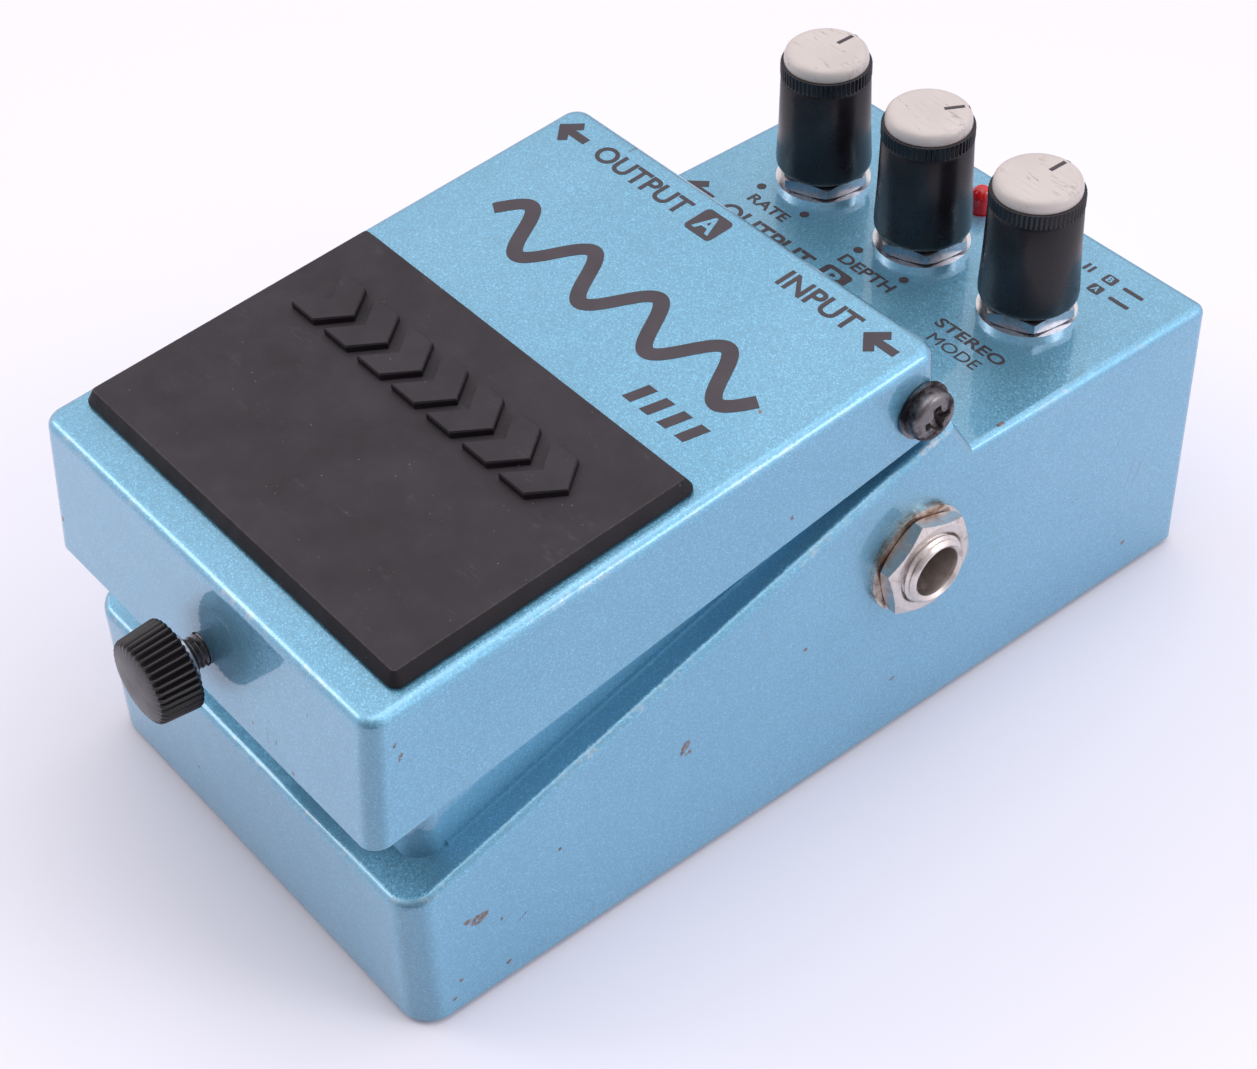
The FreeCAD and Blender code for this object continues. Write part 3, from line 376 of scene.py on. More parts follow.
def plain(name, dark, light, size, rough, metallic=0.0, relief=0.0, grain=0.3, stretch=None, **constants):
    """Two tones in slow patches, a roughness that varies, and a fine grain."""
    made = Finish(name, Metallic=metallic, **constants)
    vector = made.stretched(*stretch) if stretch else None
    patch = made.noise(size, 4.0, 0.6, vector)
    made.set(Base_Color=made.ramp(patch, (0.32, dark), (0.68, light)),
             Roughness=made.ramp(made.noise(size / 2, 4.0, 0.6, vector), (0.3, rough[0]), (0.7, rough[1])))
    if relief:
        made.set(Normal=made.bump(made.noise(grain, 3.0, 0.6, vector), relief))
    return made.material


def tarnished(name, clean, stained, spread, rough):
    """Bright plating with brown tarnish that gathers in patches."""
    made = Finish(name, Metallic=1.0)
    patch = made.noise(2.6, 5.0, 0.65)
    stain = made.ramp(patch, (spread, 0.0), (spread + 0.16, 1.0))
    fine = made.ramp(made.noise(0.5, 4.0), (0.35, 0.86), (0.65, 1.0))
    smooth = made.ramp(patch, (0.3, rough[0]), (0.7, rough[1]))
    made.set(Base_Color=made.multiply(made.mix(stain, clean, stained), fine),
             Roughness=made.math("ADD", made.math("MULTIPLY", stain, 0.25), smooth),
             Normal=made.bump(made.noise(0.25, 3.0), 0.008))
    return made.material


def cap_plastic():
    """Warm pale plastic with hairline scratches."""
    made = Finish("knob_cap", Coat_Weight=0.25, Coat_Roughness=0.12)
    hair = made.noise(1.1, 2.0, 0.5, made.stretched(9.0, 0.9, 1.0))
    line = made.ramp(hair, (0.485, 0.0), (0.5, 0.9), (0.515, 0.0))
    some = made.ramp(made.noise(3.0, 2.0), (0.48, 0.0), (0.58, 1.0))
    tone = made.ramp(made.noise(6, 3.0), (0.3, (0.520, 0.468, 0.440)), (0.7, (0.575, 0.520, 0.490)))
    made.set(Base_Color=made.mix(made.math("MULTIPLY", line, some), tone, (0.27, 0.22, 0.20)),
             Roughness=made.ramp(made.noise(2, 4.0), (0.3, 0.34), (0.7, 0.46)),
             Normal=made.bump(made.noise(0.3, 3.0), 0.01))
    return made.material


def worn_and_highlit_knob(name, outward):
    """Black plastic whose outward face is worn grey, partly a painted highlight on that face."""
    made = Finish(name)
    toward = made.vector("DOT_PRODUCT", made.own_normal(), outward, output="Value")
    face = made.ramp(toward, (0.80, 0.0), (0.97, 1.0))
    black = made.ramp(made.noise(3, 3.0), (0.3, (0.009, 0.007, 0.008)), (0.7, (0.015, 0.012, 0.014)))
    grey = made.ramp(made.noise(2.5, 5.0, 0.65), (0.3, (0.034, 0.029, 0.034)), (0.7, (0.052, 0.045, 0.051)))
    # wear and painted highlight: the face turned outward is coloured grey
    made.set(Base_Color=made.mix(face, black, grey),
             Roughness=made.ramp(made.noise(2, 4.0), (0.3, 0.30), (0.7, 0.42)),
             Normal=made.bump(made.noise(0.3, 3.0), 0.008))
    return made.material


def lamp_glass():
    """Red plastic that lets a little light through."""
    made = Finish("lamp_red", Transmission_Weight=0.25, IOR=1.5, Coat_Weight=0.3, Coat_Roughness=0.05)
    red = made.ramp(made.noise(0.9, 2.0), (0.3, (0.55, 0.004, 0.008)), (0.7, (0.85, 0.012, 0.020)))
    made.set(Base_Color=red, Roughness=made.ramp(made.noise(0.7, 2.0), (0.3, 0.14), (0.7, 0.24)))
    return made.material


# Chips and scratches in mm: (x, y, z, half length, half width, slant in degrees about X)
CASE_BLOTS = [
    (33, -23.4, 20.4, 1.3, 0.6, 60), (33, -22.9, 19.2, 0.6, 0.35, 20), (33, -53.5, 14.1, 1.4, 0.85, 10),
    (33, -55.1, 14.7, 0.6, 0.5, 0), (33, -4.8, 24.0, 0.35, 0.3, 0), (33, -41.9, 16.8, 0.35, 0.3, 0),
    (33, -50.6, 11.6, 0.3, 0.25, 0), (33, -47.8, 9.6, 0.9, 0.12, 40), (33, -56.8, 5.6, 0.3, 0.3, 0),
    (33, -50.2, 3.4, 0.4, 0.3, 0), (33, -58.0, 3.0, 0.35, 0.3, 0),
    (32.4, -5.2, 39.7, 0.45, 0.3, 35), (31.9, 27.0, 39.9, 0.9, 0.3, 20), (33, 10.0, 9.0, 0.35, 0.3, 0),
    (33, 52.0, 6.0, 0.5, 0.3, 0), (-33, -20.0, 12.0, 0.6, 0.4, 0), (-33, 34.0, 30.0, 0.5, 0.3, 40),
    (12.0, 62.7, 31.0, 0.5, 0.4, 0), (-22.0, 62.7, 12.0, 0.6, 0.4, 0), (-12, -62.7, 8.0, 0.4, 0.3, 0)]
CASE_SCRATCHES = [
    (33, 53.1, 18.1, 3.2, 0.07, 68), (33, 51.6, 19.0, 2.6, 0.05, 74), (33, 48.6, 25.8, 2.2, 0.06, 60),
    (33, 41.2, 20.0, 0.9, 0.12, 10), (33, 20.0, 12.0, 2.4, 0.04, 30), (-33, 20.0, 18.0, 3.0, 0.05, 20),
    (5, 62.7, 22.0, 0.1, 0.1, 0)]
TREADLE_BLOTS = [
    (-30.1, -65.1, 37.9, 0.7, 0.35, 60), (13.2, -65.3, 38.3, 0.8, 0.14, 75),
    (14.6, -65.2, 36.0, 0.9, 0.12, 80),
    (10.0, -65.3, 35.6, 0.8, 0.12, 70), (17.6, -65.6, 33.9, 0.35, 0.3, 0), (21.1, -64.6, 45.4, 0.3, 0.25, 0),
    (32.5, -6.9, 46.1, 0.35, 0.3, 0), (32.5, -15.3, 55.9, 0.28, 0.25, 0), (32.4, -60.6, 45.7, 0.9, 0.3, 70),
    (32.4, -61.1, 47.8, 0.5, 0.28, 60), (32.3, -59.5, 40.5, 0.3, 0.2, 0), (25.9, -5.9, 56.8, 0.28, 0.28, 0),
    (12.9, -61.0, 51.6, 0.25, 0.25, 0), (-2.0, -63.2, 50.4, 0.5, 0.2, 0), (-32.5, -30, 45, 0.5, 0.3, 0)]
TREADLE_SCRATCHES = [
    (12.9, -65.3, 35.4, 2.6, 0.06, 85), (9.2, -65.3, 35.4, 0.9, 0.06, 60), (15.2, -65.3, 33.4, 1.3, 0.05, 50),
    (-20, 14.0, 58.4, 1.1, 0.25, 0)]

case_paint = paint("paint_case", CASE_BLOTS, CASE_SCRATCHES)
treadle_paint = paint("paint_treadle", TREADLE_BLOTS, TREADLE_SCRATCHES)
rubber = tread_rubber()
base_rubber = plain("base_rubber", (0.020, 0.020, 0.021), (0.035, 0.035, 0.037), 8, (0.6, 0.75), relief=0.05)
base_steel = plain("base_steel", (0.24, 0.25, 0.26), (0.33, 0.34, 0.35), 14, (0.42, 0.55), 0.9, 0.01)
plated = tarnished("plated_steel", (0.40, 0.38, 0.36), (0.20, 0.16, 0.13), 0.52, (0.26, 0.38))
nickel = tarnished("nickel", (0.72, 0.665, 0.63), (0.45, 0.34, 0.27), 0.56, (0.27, 0.38))
nut_steel = tarnished("nut_steel", (0.34, 0.35, 0.39), (0.22, 0.20, 0.20), 0.56, (0.24, 0.34))
bright_washer = plain("bright_washer", (0.70, 0.69, 0.71), (0.82, 0.81, 0.83), 4, (0.20, 0.30), 1.0, 0.004)
washer_nickel = tarnished("washer_nickel", (0.70, 0.62, 0.56), (0.30, 0.19, 0.13), 0.47, (0.22, 0.34))
black_steel = tarnished("black_steel", (0.20, 0.188, 0.195), (0.035, 0.030, 0.034), 0.46, (0.30, 0.42))
spring_steel = plain("spring_steel", (0.45, 0.45, 0.46), (0.60, 0.60, 0.61), 3, (0.22, 0.34), 1.0, 0.005)
brass = plain("brass", (0.58, 0.42, 0.18), (0.72, 0.56, 0.28), 3, (0.28, 0.40), 1.0, 0.005)
white_plastic = plain("white_plastic", (0.72, 0.71, 0.67), (0.82, 0.81, 0.77), 5, (0.38, 0.5), relief=0.01)
insulator = plain("insulator", (0.66, 0.64, 0.55), (0.76, 0.74, 0.65), 12, (0.35, 0.5), relief=0.01)
board = plain("circuit_board", (0.27, 0.20, 0.08), (0.36, 0.28, 0.12), 7, (0.45, 0.6), relief=0.01)
components = plain("component_black", (0.03, 0.03, 0.033), (0.055, 0.055, 0.06), 2.5, (0.4, 0.55),
                   relief=0.01)
black_plastic = plain("black_plastic", (0.022, 0.022, 0.024), (0.036, 0.036, 0.039), 5, (0.40, 0.55),
                      relief=0.02)
snap_plastic = plain("snap_plastic", (0.028, 0.028, 0.029), (0.045, 0.045, 0.046), 4, (0.45, 0.6),
                     relief=0.02)
foam = plain("foam", (0.03, 0.03, 0.032), (0.10, 0.10, 0.105), 0.5, (0.85, 0.95), relief=0.3, grain=0.5)
can_metal = plain("control_can", (0.50, 0.50, 0.50), (0.63, 0.63, 0.62), 4, (0.3, 0.42), 1.0, 0.006)
shaft_metal = plain("aluminium_shaft", (0.68, 0.68, 0.68), (0.78, 0.78, 0.78), 2, (0.25, 0.36), 1.0, 0.004,
                    stretch=(6.0, 6.0, 0.4))
knob_gloss = plain("knob_black", (0.0075, 0.0055, 0.0075), (0.012, 0.010, 0.0125), 6, (0.24, 0.32),
                   relief=0.004, grain=0.8, Specular_IOR_Level=0.34)
thumb_plastic = worn_and_highlit_knob("thumbscrew_plastic", (0, -1, 0))
cap = cap_plastic()
print_ink = plain("print_ink", (0.036, 0.029, 0.037), (0.050, 0.041, 0.051), 4, (0.34, 0.46), relief=0.004)
lamp_red = lamp_glass()


# ------------------------------------------------------------------ materials of the CAD nodes that stay

def dress(material, *names):
    for name in names:
        for slot in nodes[name].material_slots:
            slot.material = material


dress(case_paint, "chassis")
dress(treadle_paint, "pedal_plate")
dress(base_steel, "base_plate")
dress(base_rubber, "rubber_base")
dress(plated, "base_screws", "power_pin")
dress(black_steel, "pivot_washers")
dress(bright_washer, "control_washers")
dress(washer_nickel, "jack_washers")
dress(insulator, "insulating_sheet")
dress(white_plastic, "board_spacers", "spring_cup", "lamp_spacer", "switch_plunger")
dress(board, "main_board", "control_board")
dress(components, "board_components")
dress(black_plastic, "switch_body", "input_jack_housing", "output_a_jack_housing",
      "output_b_jack_housing", "power_socket", "battery")
dress(snap_plastic, "battery_snap", "guide_bush")
dress(foam, "battery_foam")
dress(brass, "pivot_bushes")
dress(can_metal, "rate_control", "depth_control", "mode_control")
dress(shaft_metal, "rate_shaft", "depth_shaft", "mode_shaft")


# ------------------------------------------------------------------ tread pad

def rounded_box(x0, y0, x1, y1, radius, steps=6):
    """Outline of a rectangle with rounded corners."""
    outline = []
    for cx, cy, start in ((x1 - radius, y1 - radius, 0), (x0 + radius, y1 - radius, 90),
                          (x0 + radius, y0 + radius, 180), (x1 - radius, y0 + radius, 270)):
        for k in range(steps + 1):
            angle = math.radians(start + 90 * k / steps)
            outline.append((cx + radius * math.cos(angle), cy + radius * math.sin(angle)))
    return outline


def layered(shape, outlines, frame):
    """Skin over outlines of equal length, [(outline, height)], closed below and above."""
    n = len(outlines[0][0])
    points = [(x, y, z) for outline, z in outlines for x, y in outline]
    faces = [tuple(reversed(range(n)))]
    for level in range(len(outlines) - 1):
        a, b = level * n, (level + 1) * n
        faces += [(a + k, a + (k + 1) % n, b + (k + 1) % n, b + k) for k in range(n)]
    faces.append(tuple(range((len(outlines) - 1) * n, len(outlines) * n)))
    return shape.add(points, faces, frame)


def make_tread_pad():
    """Rubber pad with a bevelled rim and a row of raised chevrons."""
    top = TREADLE_TOP + 2.0
    half_width, front, rear, corner = 30.4, -71.5, -30.8, 1.4
    # insets of the rim's outline and their heights, from the foot up
    levels = [(0.25, TREADLE_TOP - 0.05), (0.25, TREADLE_TOP + 0.2), (0.0, TREADLE_TOP + 0.3),
              (0.0, TREADLE_TOP + 0.45), (0.03, TREADLE_TOP + 0.55), (0.83, top - 0.13), (0.88, top - 0.065),
              (0.94, top - 0.025), (1.02, top - 0.005), (1.1, top)]
    outlines = [(rounded_box(-half_width + inset, front + inset, half_width - inset, rear - inset,
                             max(corner - inset, 0.5)), height) for inset, height in levels]
    pad = layered(Shape(), outlines, on_treadle())
    piece("tread_pad_moulding", pad, rubber, "treadle", ["tread_pad"], crease=30)

    raised = Shape()
    front, rear, rise, draft = -46.1, -38.5, 0.95, 0.12
    half = (rear - front) / 2
    centre = (rear + front) / 2
    first, pitch, arm, point = -24.2, 6.6, 4.4, 2.9
    for k in range(7):
        x = first + k * pitch
        outline = [(x, front), (x + arm, front), (x + arm + point, centre), (x + arm, rear), (x, rear),
                   (x + point, centre)]
        ring = [(outline, top - 0.05), (outline, top + rise - 0.18)]
        small = [(px + (draft if px < x + arm else -draft), centre + (py - centre) * (half - 0.15) / half)
                 for px, py in outline]
        ring.append((small, top + rise))
        layered(raised, ring, on_treadle())
    piece("tread_pad_chevrons", raised, rubber, "treadle", crease=30)


make_tread_pad()


# ------------------------------------------------------------------ printing

INK_LOW, INK_HIGH = -0.02, 0.035       # the ink's underside and top, from the face it is printed on
LETTER_RISE = 0.03                     # the letters in the boxes stand this much over the ink


def arrow(tip_x, y):
    """Outline of a bold arrow that points to -X."""
    wing, thick, half, length = 2.25, 0.92, 0.58, 5.3
    notch = 2 * thick + half
    upper = [(0, 0), (wing, -wing), (wing + thick, thick - wing), (notch, -half), (length, -half)]
    lower = [(x, -v) for x, v in reversed(upper[1:])]
    return [(tip_x + x, y + v) for x, v in upper + lower]


def make_treadle_print():
    low, high = TREADLE_TOP + INK_LOW, TREADLE_TOP + INK_HIGH
    place = on_treadle()
    ink = Shape()
    ink.slab(arrow(-30.6, -1.25), low, high, place)
    ink.letters("OUTPUT", low, high, (-23.0, -2.6, -6.3, 0.4), place)
    ink.slab(rounded_box(-4.6, -3.3, 0.0, 1.05, 0.7), low, high, place)
    ink.letters("INPUT", low, high, (11.0, -2.6, 23.3, 0.4), place)
    ink.slab(arrow(24.6, -1.25), low, high, place)
    start, length, middle_y, swing, count, period = -23.6, 48.2, -17.2, 3.45, 192, 48
    wave = [(start + length * k / count, middle_y + swing * math.sin(2 * math.pi * k / period))
            for k in range(count + 1)]
    ink.ribbon(wave, 2.0, low, high, place)
    bar, pitch, wide, lean, front, rear = 13.0, 3.0, 1.5, 0.9, -27.2, -23.9
    for k in range(4):
        x = bar + pitch * k
        ink.slab([(x, front), (x + wide, front), (x + wide + lean, rear), (x + lean, rear)], low, high, place)
    piece("treadle_print", ink, print_ink, "treadle", crease=30)
    letter = Shape().letters("A", high, high + LETTER_RISE, (-3.75, -2.6, -0.85, 0.35), place)
    piece("treadle_print_letter", letter, treadle_paint, "treadle", crease=30)


def make_panel_print():
    low, high = PANEL_TOP + INK_LOW, PANEL_TOP + INK_HIGH
    place = Matrix.Scale(MM, 4)
    ink = Shape()
    dot_radius, dot_apart, dot_front, dot_steps = 0.65, 4.2, 7.2, 24
    for knob in ("rate_knob", "depth_knob"):
        centre = middle(knob)
        for side in (-dot_apart, dot_apart):
            dot = [(centre.x + side + dot_radius * math.cos(a),
                    centre.y - dot_front + dot_radius * math.sin(a))
                   for a in (2 * math.pi * k / dot_steps for k in range(dot_steps))]
            ink.slab(dot, low, high, place)
    rate, depth = middle("rate_knob").x, middle("depth_knob").x
    ink.letters("RATE", low, high, (rate - 3.5, 34.5, rate + 3.5, 36.3), place)
    ink.letters("DEPTH", low, high, (depth - 4.6, 34.4, depth + 4.7, 36.3), place)
    ink.letters("STEREO", low, high, (12.9, 34.5, 24.2, 36.3), place)
    ink.letters("MODE", low, high, (14.4, 31.7, 22.6, 33.5), place, weight=0.0)
    ink.slab(arrow(-30.6, 31.2), low, high, place)
    ink.letters("OUTPUT", low, high, (-23.0, 29.7, -6.3, 32.7), place)
    ink.slab(rounded_box(-4.6, 29.0, 0.0, 33.3, 0.7), low, high, place)
    tick, front, rear = 0.22, 56.5, 58.0
    for x in (17.5, 18.4):
        ink.slab([(x - tick, front), (x + tick, front), (x + tick, rear), (x - tick, rear)], low, high, place)
    for y in (57.3, 54.6):
        ink.slab(rounded_box(20.5, y - 0.85, 22.4, y + 0.85, 0.3), low, high, place)
        ink.slab(rounded_box(23.7, y - 0.3, 26.9, y + 0.3, 0.2), low, high, place)
    piece("panel_print", ink, print_ink, "case", crease=30)
    top = high + LETTER_RISE
    letter = Shape().letters("B", high, top, (-3.6, 29.7, -1.0, 32.6), place)
    letter.letters("B", high, top, (21.0, 56.75, 21.9, 57.85), place)
    letter.letters("A", high, top, (20.95, 54.05, 21.95, 55.15), place)
    piece("panel_print_letter", letter, case_paint, "case", crease=30)


make_treadle_print()
make_panel_print()


# ------------------------------------------------------------------ knobs

def make_knob(name, turn):
    """Glossy tapered knob with a ridged band under its pale cap, and a pointer line on the cap."""
    low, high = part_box(name + "_knob")
    bottom, top = low[2] / MM, high[2] / MM
    height = top - bottom
    centre = middle(name + "_knob")
    place = facing((centre.x, centre.y, bottom), (0, 0, 1), turn)
    profile = [(3.05, 2.0), (4.7, 2.0), (4.8, 0.0), (5.75, 0.0), (6.08, 0.12), (6.26, 0.42), (6.3, 0.9),
               (6.27, 2.0), (6.06, 6.0), (5.86, height - 2.35), (5.72, height - 2.15), (5.86, height - 1.95),
               (5.92, height - 1.8), (5.92, height - 0.25), (5.84, height - 0.08), (5.7, height), (0, height)]
    ridged, ridges, groove = range(12, 14), 60, 0.11

    def ripple(number, angle):
        return -groove + groove * math.cos(ridges * angle) if number in ridged else 0

    knob = Shape().lathe(profile, 360, place, ripple)
    piece(name + "_knob_moulding", knob, knob_gloss, name + "_dial", [name + "_knob"],
          crease=50)

    rise = 1.67
    disc = facing((centre.x, centre.y, top), (0, 0, 1), turn)
    profile = [(0, -0.05), (5.45, -0.05), (5.5, 0.3), (5.45, 0.9), (5.3, 1.28), (5.02, 1.55), (4.6, 1.68),
               (4.1, rise), (0, rise)]
    piece(name + "_cap_moulding", Shape().lathe(profile, 96, disc), cap, name + "_dial",
          [name + "_cap"], crease=60)
    # the pointer: flat on the cap's face, then down over its rounded rim
    half, inner, bend, tip = 0.3, 1.9, 4.5, 5.2
    foot, head = rise - 0.25, rise + 0.015
    line = Shape().slab([(-half, inner), (half, inner), (half, bend), (-half, bend)], foot, head, disc)
    line.add([(-half, bend, foot), (half, bend, foot), (half, bend, head), (-half, bend, head),
              (-half, tip, rise - 0.5), (half, tip, rise - 0.5), (half, tip, rise - 0.2),
              (-half, tip, rise - 0.2)],
             [(0, 3, 2, 1), (4, 5, 6, 7), (0, 1, 5, 4), (3, 7, 6, 2), (0, 4, 7, 3), (1, 2, 6, 5)], disc)
    piece(name + "_pointer", line, print_ink, name + "_dial")


make_knob("rate", 0)
make_knob("depth", -30)
make_knob("mode", 0)


# ------------------------------------------------------------------ nuts, bushes and screws

def hexagon(angle, apothem):
    """Distance from a hexagon's centre to its side, at an angle."""
    return apothem / math.cos((angle + math.pi / 6) % (math.pi / 3) - math.pi / 6)


def hex_nut(shape, corner, hole, height, frame):
    """Chamfered hexagon nut, standing on its frame; corner and hole are radii."""
    apothem = corner * math.cos(math.pi / 6)
    steps = 144
    rings = []
    crown = apothem * 0.97
    for kind in ("hole low", "low", "side low", "side high", "crown", "hole rim", "hole high"):
        ring = []
        for k in range(steps):
            angle = 2 * math.pi * k / steps
            flat = hexagon(angle, apothem)
            drop = max(0.0, flat - crown) * 0.45
            radius, z = {
                "hole low": (hole, 0.0), "low": (crown, 0.0), "side low": (flat, drop),
                "side high": (flat, height - drop), "crown": (crown, height),
                "hole rim": (hole + 0.35, height), "hole high": (hole, height - 0.3)}[kind]
            ring.append((radius * math.cos(angle), radius * math.sin(angle), z))
        rings.append(ring)
    points = [p for ring in rings for p in ring]
    faces = []
    for a in range(len(rings)):
        b = (a + 1) % len(rings)
        for k in range(steps):
            n = (k + 1) % steps
            faces.append((a * steps + k, a * steps + n, b * steps + n, b * steps + k))
    shape.add(points, faces, frame)


def threaded(inner, outer, start, end, pitch, depth):
    """Profile of a threaded tube: out along the thread from its far end, and back down its bore."""
    profile = [(inner, start), (outer - depth, start)]
    z = start + pitch / 2
    while z < end - pitch:
        profile += [(outer, z - 0.08), (outer, z + 0.08), (outer - depth, z + pitch / 2)]
        z += pitch
    profile += [(outer - depth * 0.6, end - 0.5), (outer - depth - 0.15, end - 0.12),
                (outer - depth - 0.35, end), (inner + 0.55, end), (inner + 0.12, end - 0.35),
                (inner, end - 0.9), (inner, start)]
    return profile


def make_jacks():
    nut_corner, nut_hole, nut_height, nut_turn = 7.05, 4.62, 2.3, 12
    bore, thread, far_end, pitch, thread_depth = 3.25, 4.6, -10.0, 0.75, 0.34
    nuts = Shape()
    for name, side in (("input_jack", 1), ("output_a_jack", -1), ("output_b_jack", -1)):
        low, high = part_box(name + "_bush")
        centre = middle(name + "_bush")
        wall = CASE_SIDE * side
        out = (side, 0, 0)
        nut_face = facing((wall + WASHER_THICK * side, centre.y, centre.z), out, nut_turn)
        hex_nut(nuts, nut_corner, nut_hole, nut_height, nut_face)
        length = (high[0] / MM - wall) if side > 0 else (wall - low[0] / MM)
        bush = Shape()
        place = facing((wall, centre.y, centre.z), out)
        bush.lathe(threaded(bore, thread, far_end, length, pitch, thread_depth), 96, place)
        piece(name + "_bush_thread", bush, nickel, "case", [name + "_bush"], crease=24)
    piece("jack_nuts_chamfered", nuts, nickel, "case", ["jack_nuts"], crease=24)


def make_control_nuts():
    nut_corner, nut_hole, nut_height, nut_turn = 6.2, 3.55, 2.0, -8
    nuts = Shape()
    for name in ("rate", "depth", "mode"):
        centre = middle(name + "_knob")
        nut_face = facing((centre.x, centre.y, PANEL_TOP + WASHER_THICK), (0, 0, 1), nut_turn)
        hex_nut(nuts, nut_corner, nut_hole, nut_height, nut_face)
    piece("control_nuts_chamfered", nuts, nut_steel, "case", ["control_nuts"], crease=24)


def phillips(shape, radius, height, frame):
    """Pan head with a cross recess, as a dome of rings."""
    steps = 192
    reach, half, depth = 1.95, 0.52, 1.5       # the cross: each arm's length and half width, its depth
    core_radius, core_share, slope = 1.15, 0.9, 0.55
    fine_rings, fine_share = 34, 0.62          # close rings over the recess, as a share of the radius
    squareness, side_share = 0.42, 0.42        # of the dome's profile; the rim's height under the dome
    rings = [radius * fine_share * k / fine_rings for k in range(1, fine_rings + 1)]
    rim = [radius * math.sin(math.radians(t)) ** squareness for t in range(24, 91, 6)]
    rings += [r for r in rim if r > rings[-1]]

    def clamp(value):
        return max(0.0, min(1.0, value))

    def crown(r):
        t = math.asin(min(1.0, (r / radius) ** (1 / squareness)))
        return height * (side_share + 0.58 * math.cos(t) ** 0.75)

    def recess(x, y):
        long, short = max(abs(x), abs(y)), min(abs(x), abs(y))
        arm = clamp((half + 0.08 - short) / 0.16) * clamp((reach - long) / 0.2)
        core = clamp((core_radius - math.hypot(x, y)) / 0.25)
        return max(arm * (1 - slope * long / reach), core * core_share) * depth

    points = [(0, 0, crown(0) - recess(0, 0))]
    for r in rings:
        for k in range(steps):
            angle = 2 * math.pi * k / steps
            x, y = r * math.cos(angle), r * math.sin(angle)
            points.append((x, y, crown(r) - recess(x, y)))
    last = 1 + (len(rings) - 1) * steps
    points += [(radius * math.cos(2 * math.pi * k / steps), radius * math.sin(2 * math.pi * k / steps), 0)
               for k in range(steps)]
    faces = [(0, 1 + k, 1 + (k + 1) % steps) for k in range(steps)]
    for ring in range(len(rings)):
        a, b = 1 + ring * steps, 1 + (ring + 1) * steps
        faces += [(a + k, b + k, b + (k + 1) % steps, a + (k + 1) % steps) for k in range(steps)]
    faces.append(tuple(last + steps + k for k in reversed(range(steps))))
    shape.add(points, faces, frame)


def make_pivot_screws():
    low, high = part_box("pivot_screws")
    head_radius, height, turn = 3.2, 2.1, 8
    shank_start, shank_radius, shank_length = 22.0, 2.0, 11.15
    screws = Shape()
    for side, end in ((1, high[0] / MM), (-1, low[0] / MM)):
        centre = (end - side * height, hinge[1] / MM, hinge[2] / MM)
        phillips(screws, head_radius, height, facing(centre, (side, 0, 0), turn))
        shank = facing((side * shank_start, hinge[1] / MM, hinge[2] / MM), (side, 0, 0))
        screws.lathe([(0, 0), (1.6, 0), (shank_radius, 0.4), (shank_radius, shank_length), (0, shank_length)],
                     32, shank)
    piece("pivot_screws_cross_head", screws, black_steel, "case", ["pivot_screws"], crease=28)


def make_thumbscrew():
    """Ribbed head that narrows towards its face, the washer under it, and the threaded shaft."""
    back = (0, -1, 0)
    centre = middle("thumbscrew_head")
    profile = [(2.0, 0.0), (5.2, 0.0), (5.45, 0.1), (5.58, 0.3), (5.56, 0.6), (5.22, 4.7), (5.1, 4.95),
               (4.85, 5.15), (4.2, 5.38), (3.0, 5.58), (1.4, 5.68), (0, 5.7)]
    ribs, rib_depth = 36, 0.68
    shares = {1: 0.6, 2: 0.9, 3: 1, 4: 1, 5: 1, 6: 0.8, 7: 0.25}       # of the depth, at the profile's points

    def ripple(number, angle):
        wave = 0.5 - 0.5 * math.cos(ribs * angle)
        return -rib_depth * shares.get(number, 0) * wave ** 1.2

    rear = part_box("thumbscrew_head")[1][1] / MM
    head = Shape().lathe(profile, 360, facing((centre.x, rear, centre.z), back), ripple)

    low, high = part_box("thumbscrew_washer")
    thick = (high[1] - low[1]) / MM
    hole, radius, rounding = 2.06, 3.4, 0.1
    profile = [(hole, 0), (radius - rounding, 0), (radius, rounding), (radius, thick - rounding),
               (radius - rounding, thick), (hole, thick), (hole, 0)]
    washer = Shape().lathe(profile, 64, facing((centre.x, high[1] / MM, centre.z), back))
    piece("thumbscrew_washer_ring", washer, nut_steel, "screw_washer", ["thumbscrew_washer"],
          crease=28)

    low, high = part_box("thumbscrew_shaft")
    length = (high[1] - low[1]) / MM
    root, crest, pitch = 1.72, 1.97, 0.6
    profile = [(0, 0), (1.4, 0), (1.9, 0.5)]
    z = 0.75
    while z < length - 0.8:
        profile += [(root, z), (crest, z + 0.25), (crest, z + 0.32)]
        z += pitch
    profile += [(1.95, length), (0, length)]
    shaft = Shape().lathe(profile, 48, facing((centre.x, high[1] / MM, centre.z), back))
    piece("thumbscrew_shaft_thread", shaft, black_steel, "thumbscrew", ["thumbscrew_shaft"],
          crease=24)
    piece("thumbscrew_head_ribbed", head, thumb_plastic, "thumbscrew",
          ["thumbscrew_head"], crease=50)


def make_lamp():
    low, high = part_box("lamp")
    centre = middle("lamp")
    place = facing((centre.x, centre.y, low[2] / MM), (0, 0, 1))
    height = (high[2] - low[2]) / MM
    radius = 1.5
    profile = [(0, 0), (1.4, 0), (1.45, 0.2), (1.45, height - radius)]
    for degrees in range(10, 90, 10):
        t = math.radians(degrees)
        profile.append((radius * math.cos(t) * 0.97, height - radius + radius * math.sin(t)))
    profile.append((0, height))
    piece("lamp_lens", Shape().lathe(profile, 48, place), lamp_red, "case", ["lamp"], crease=50)


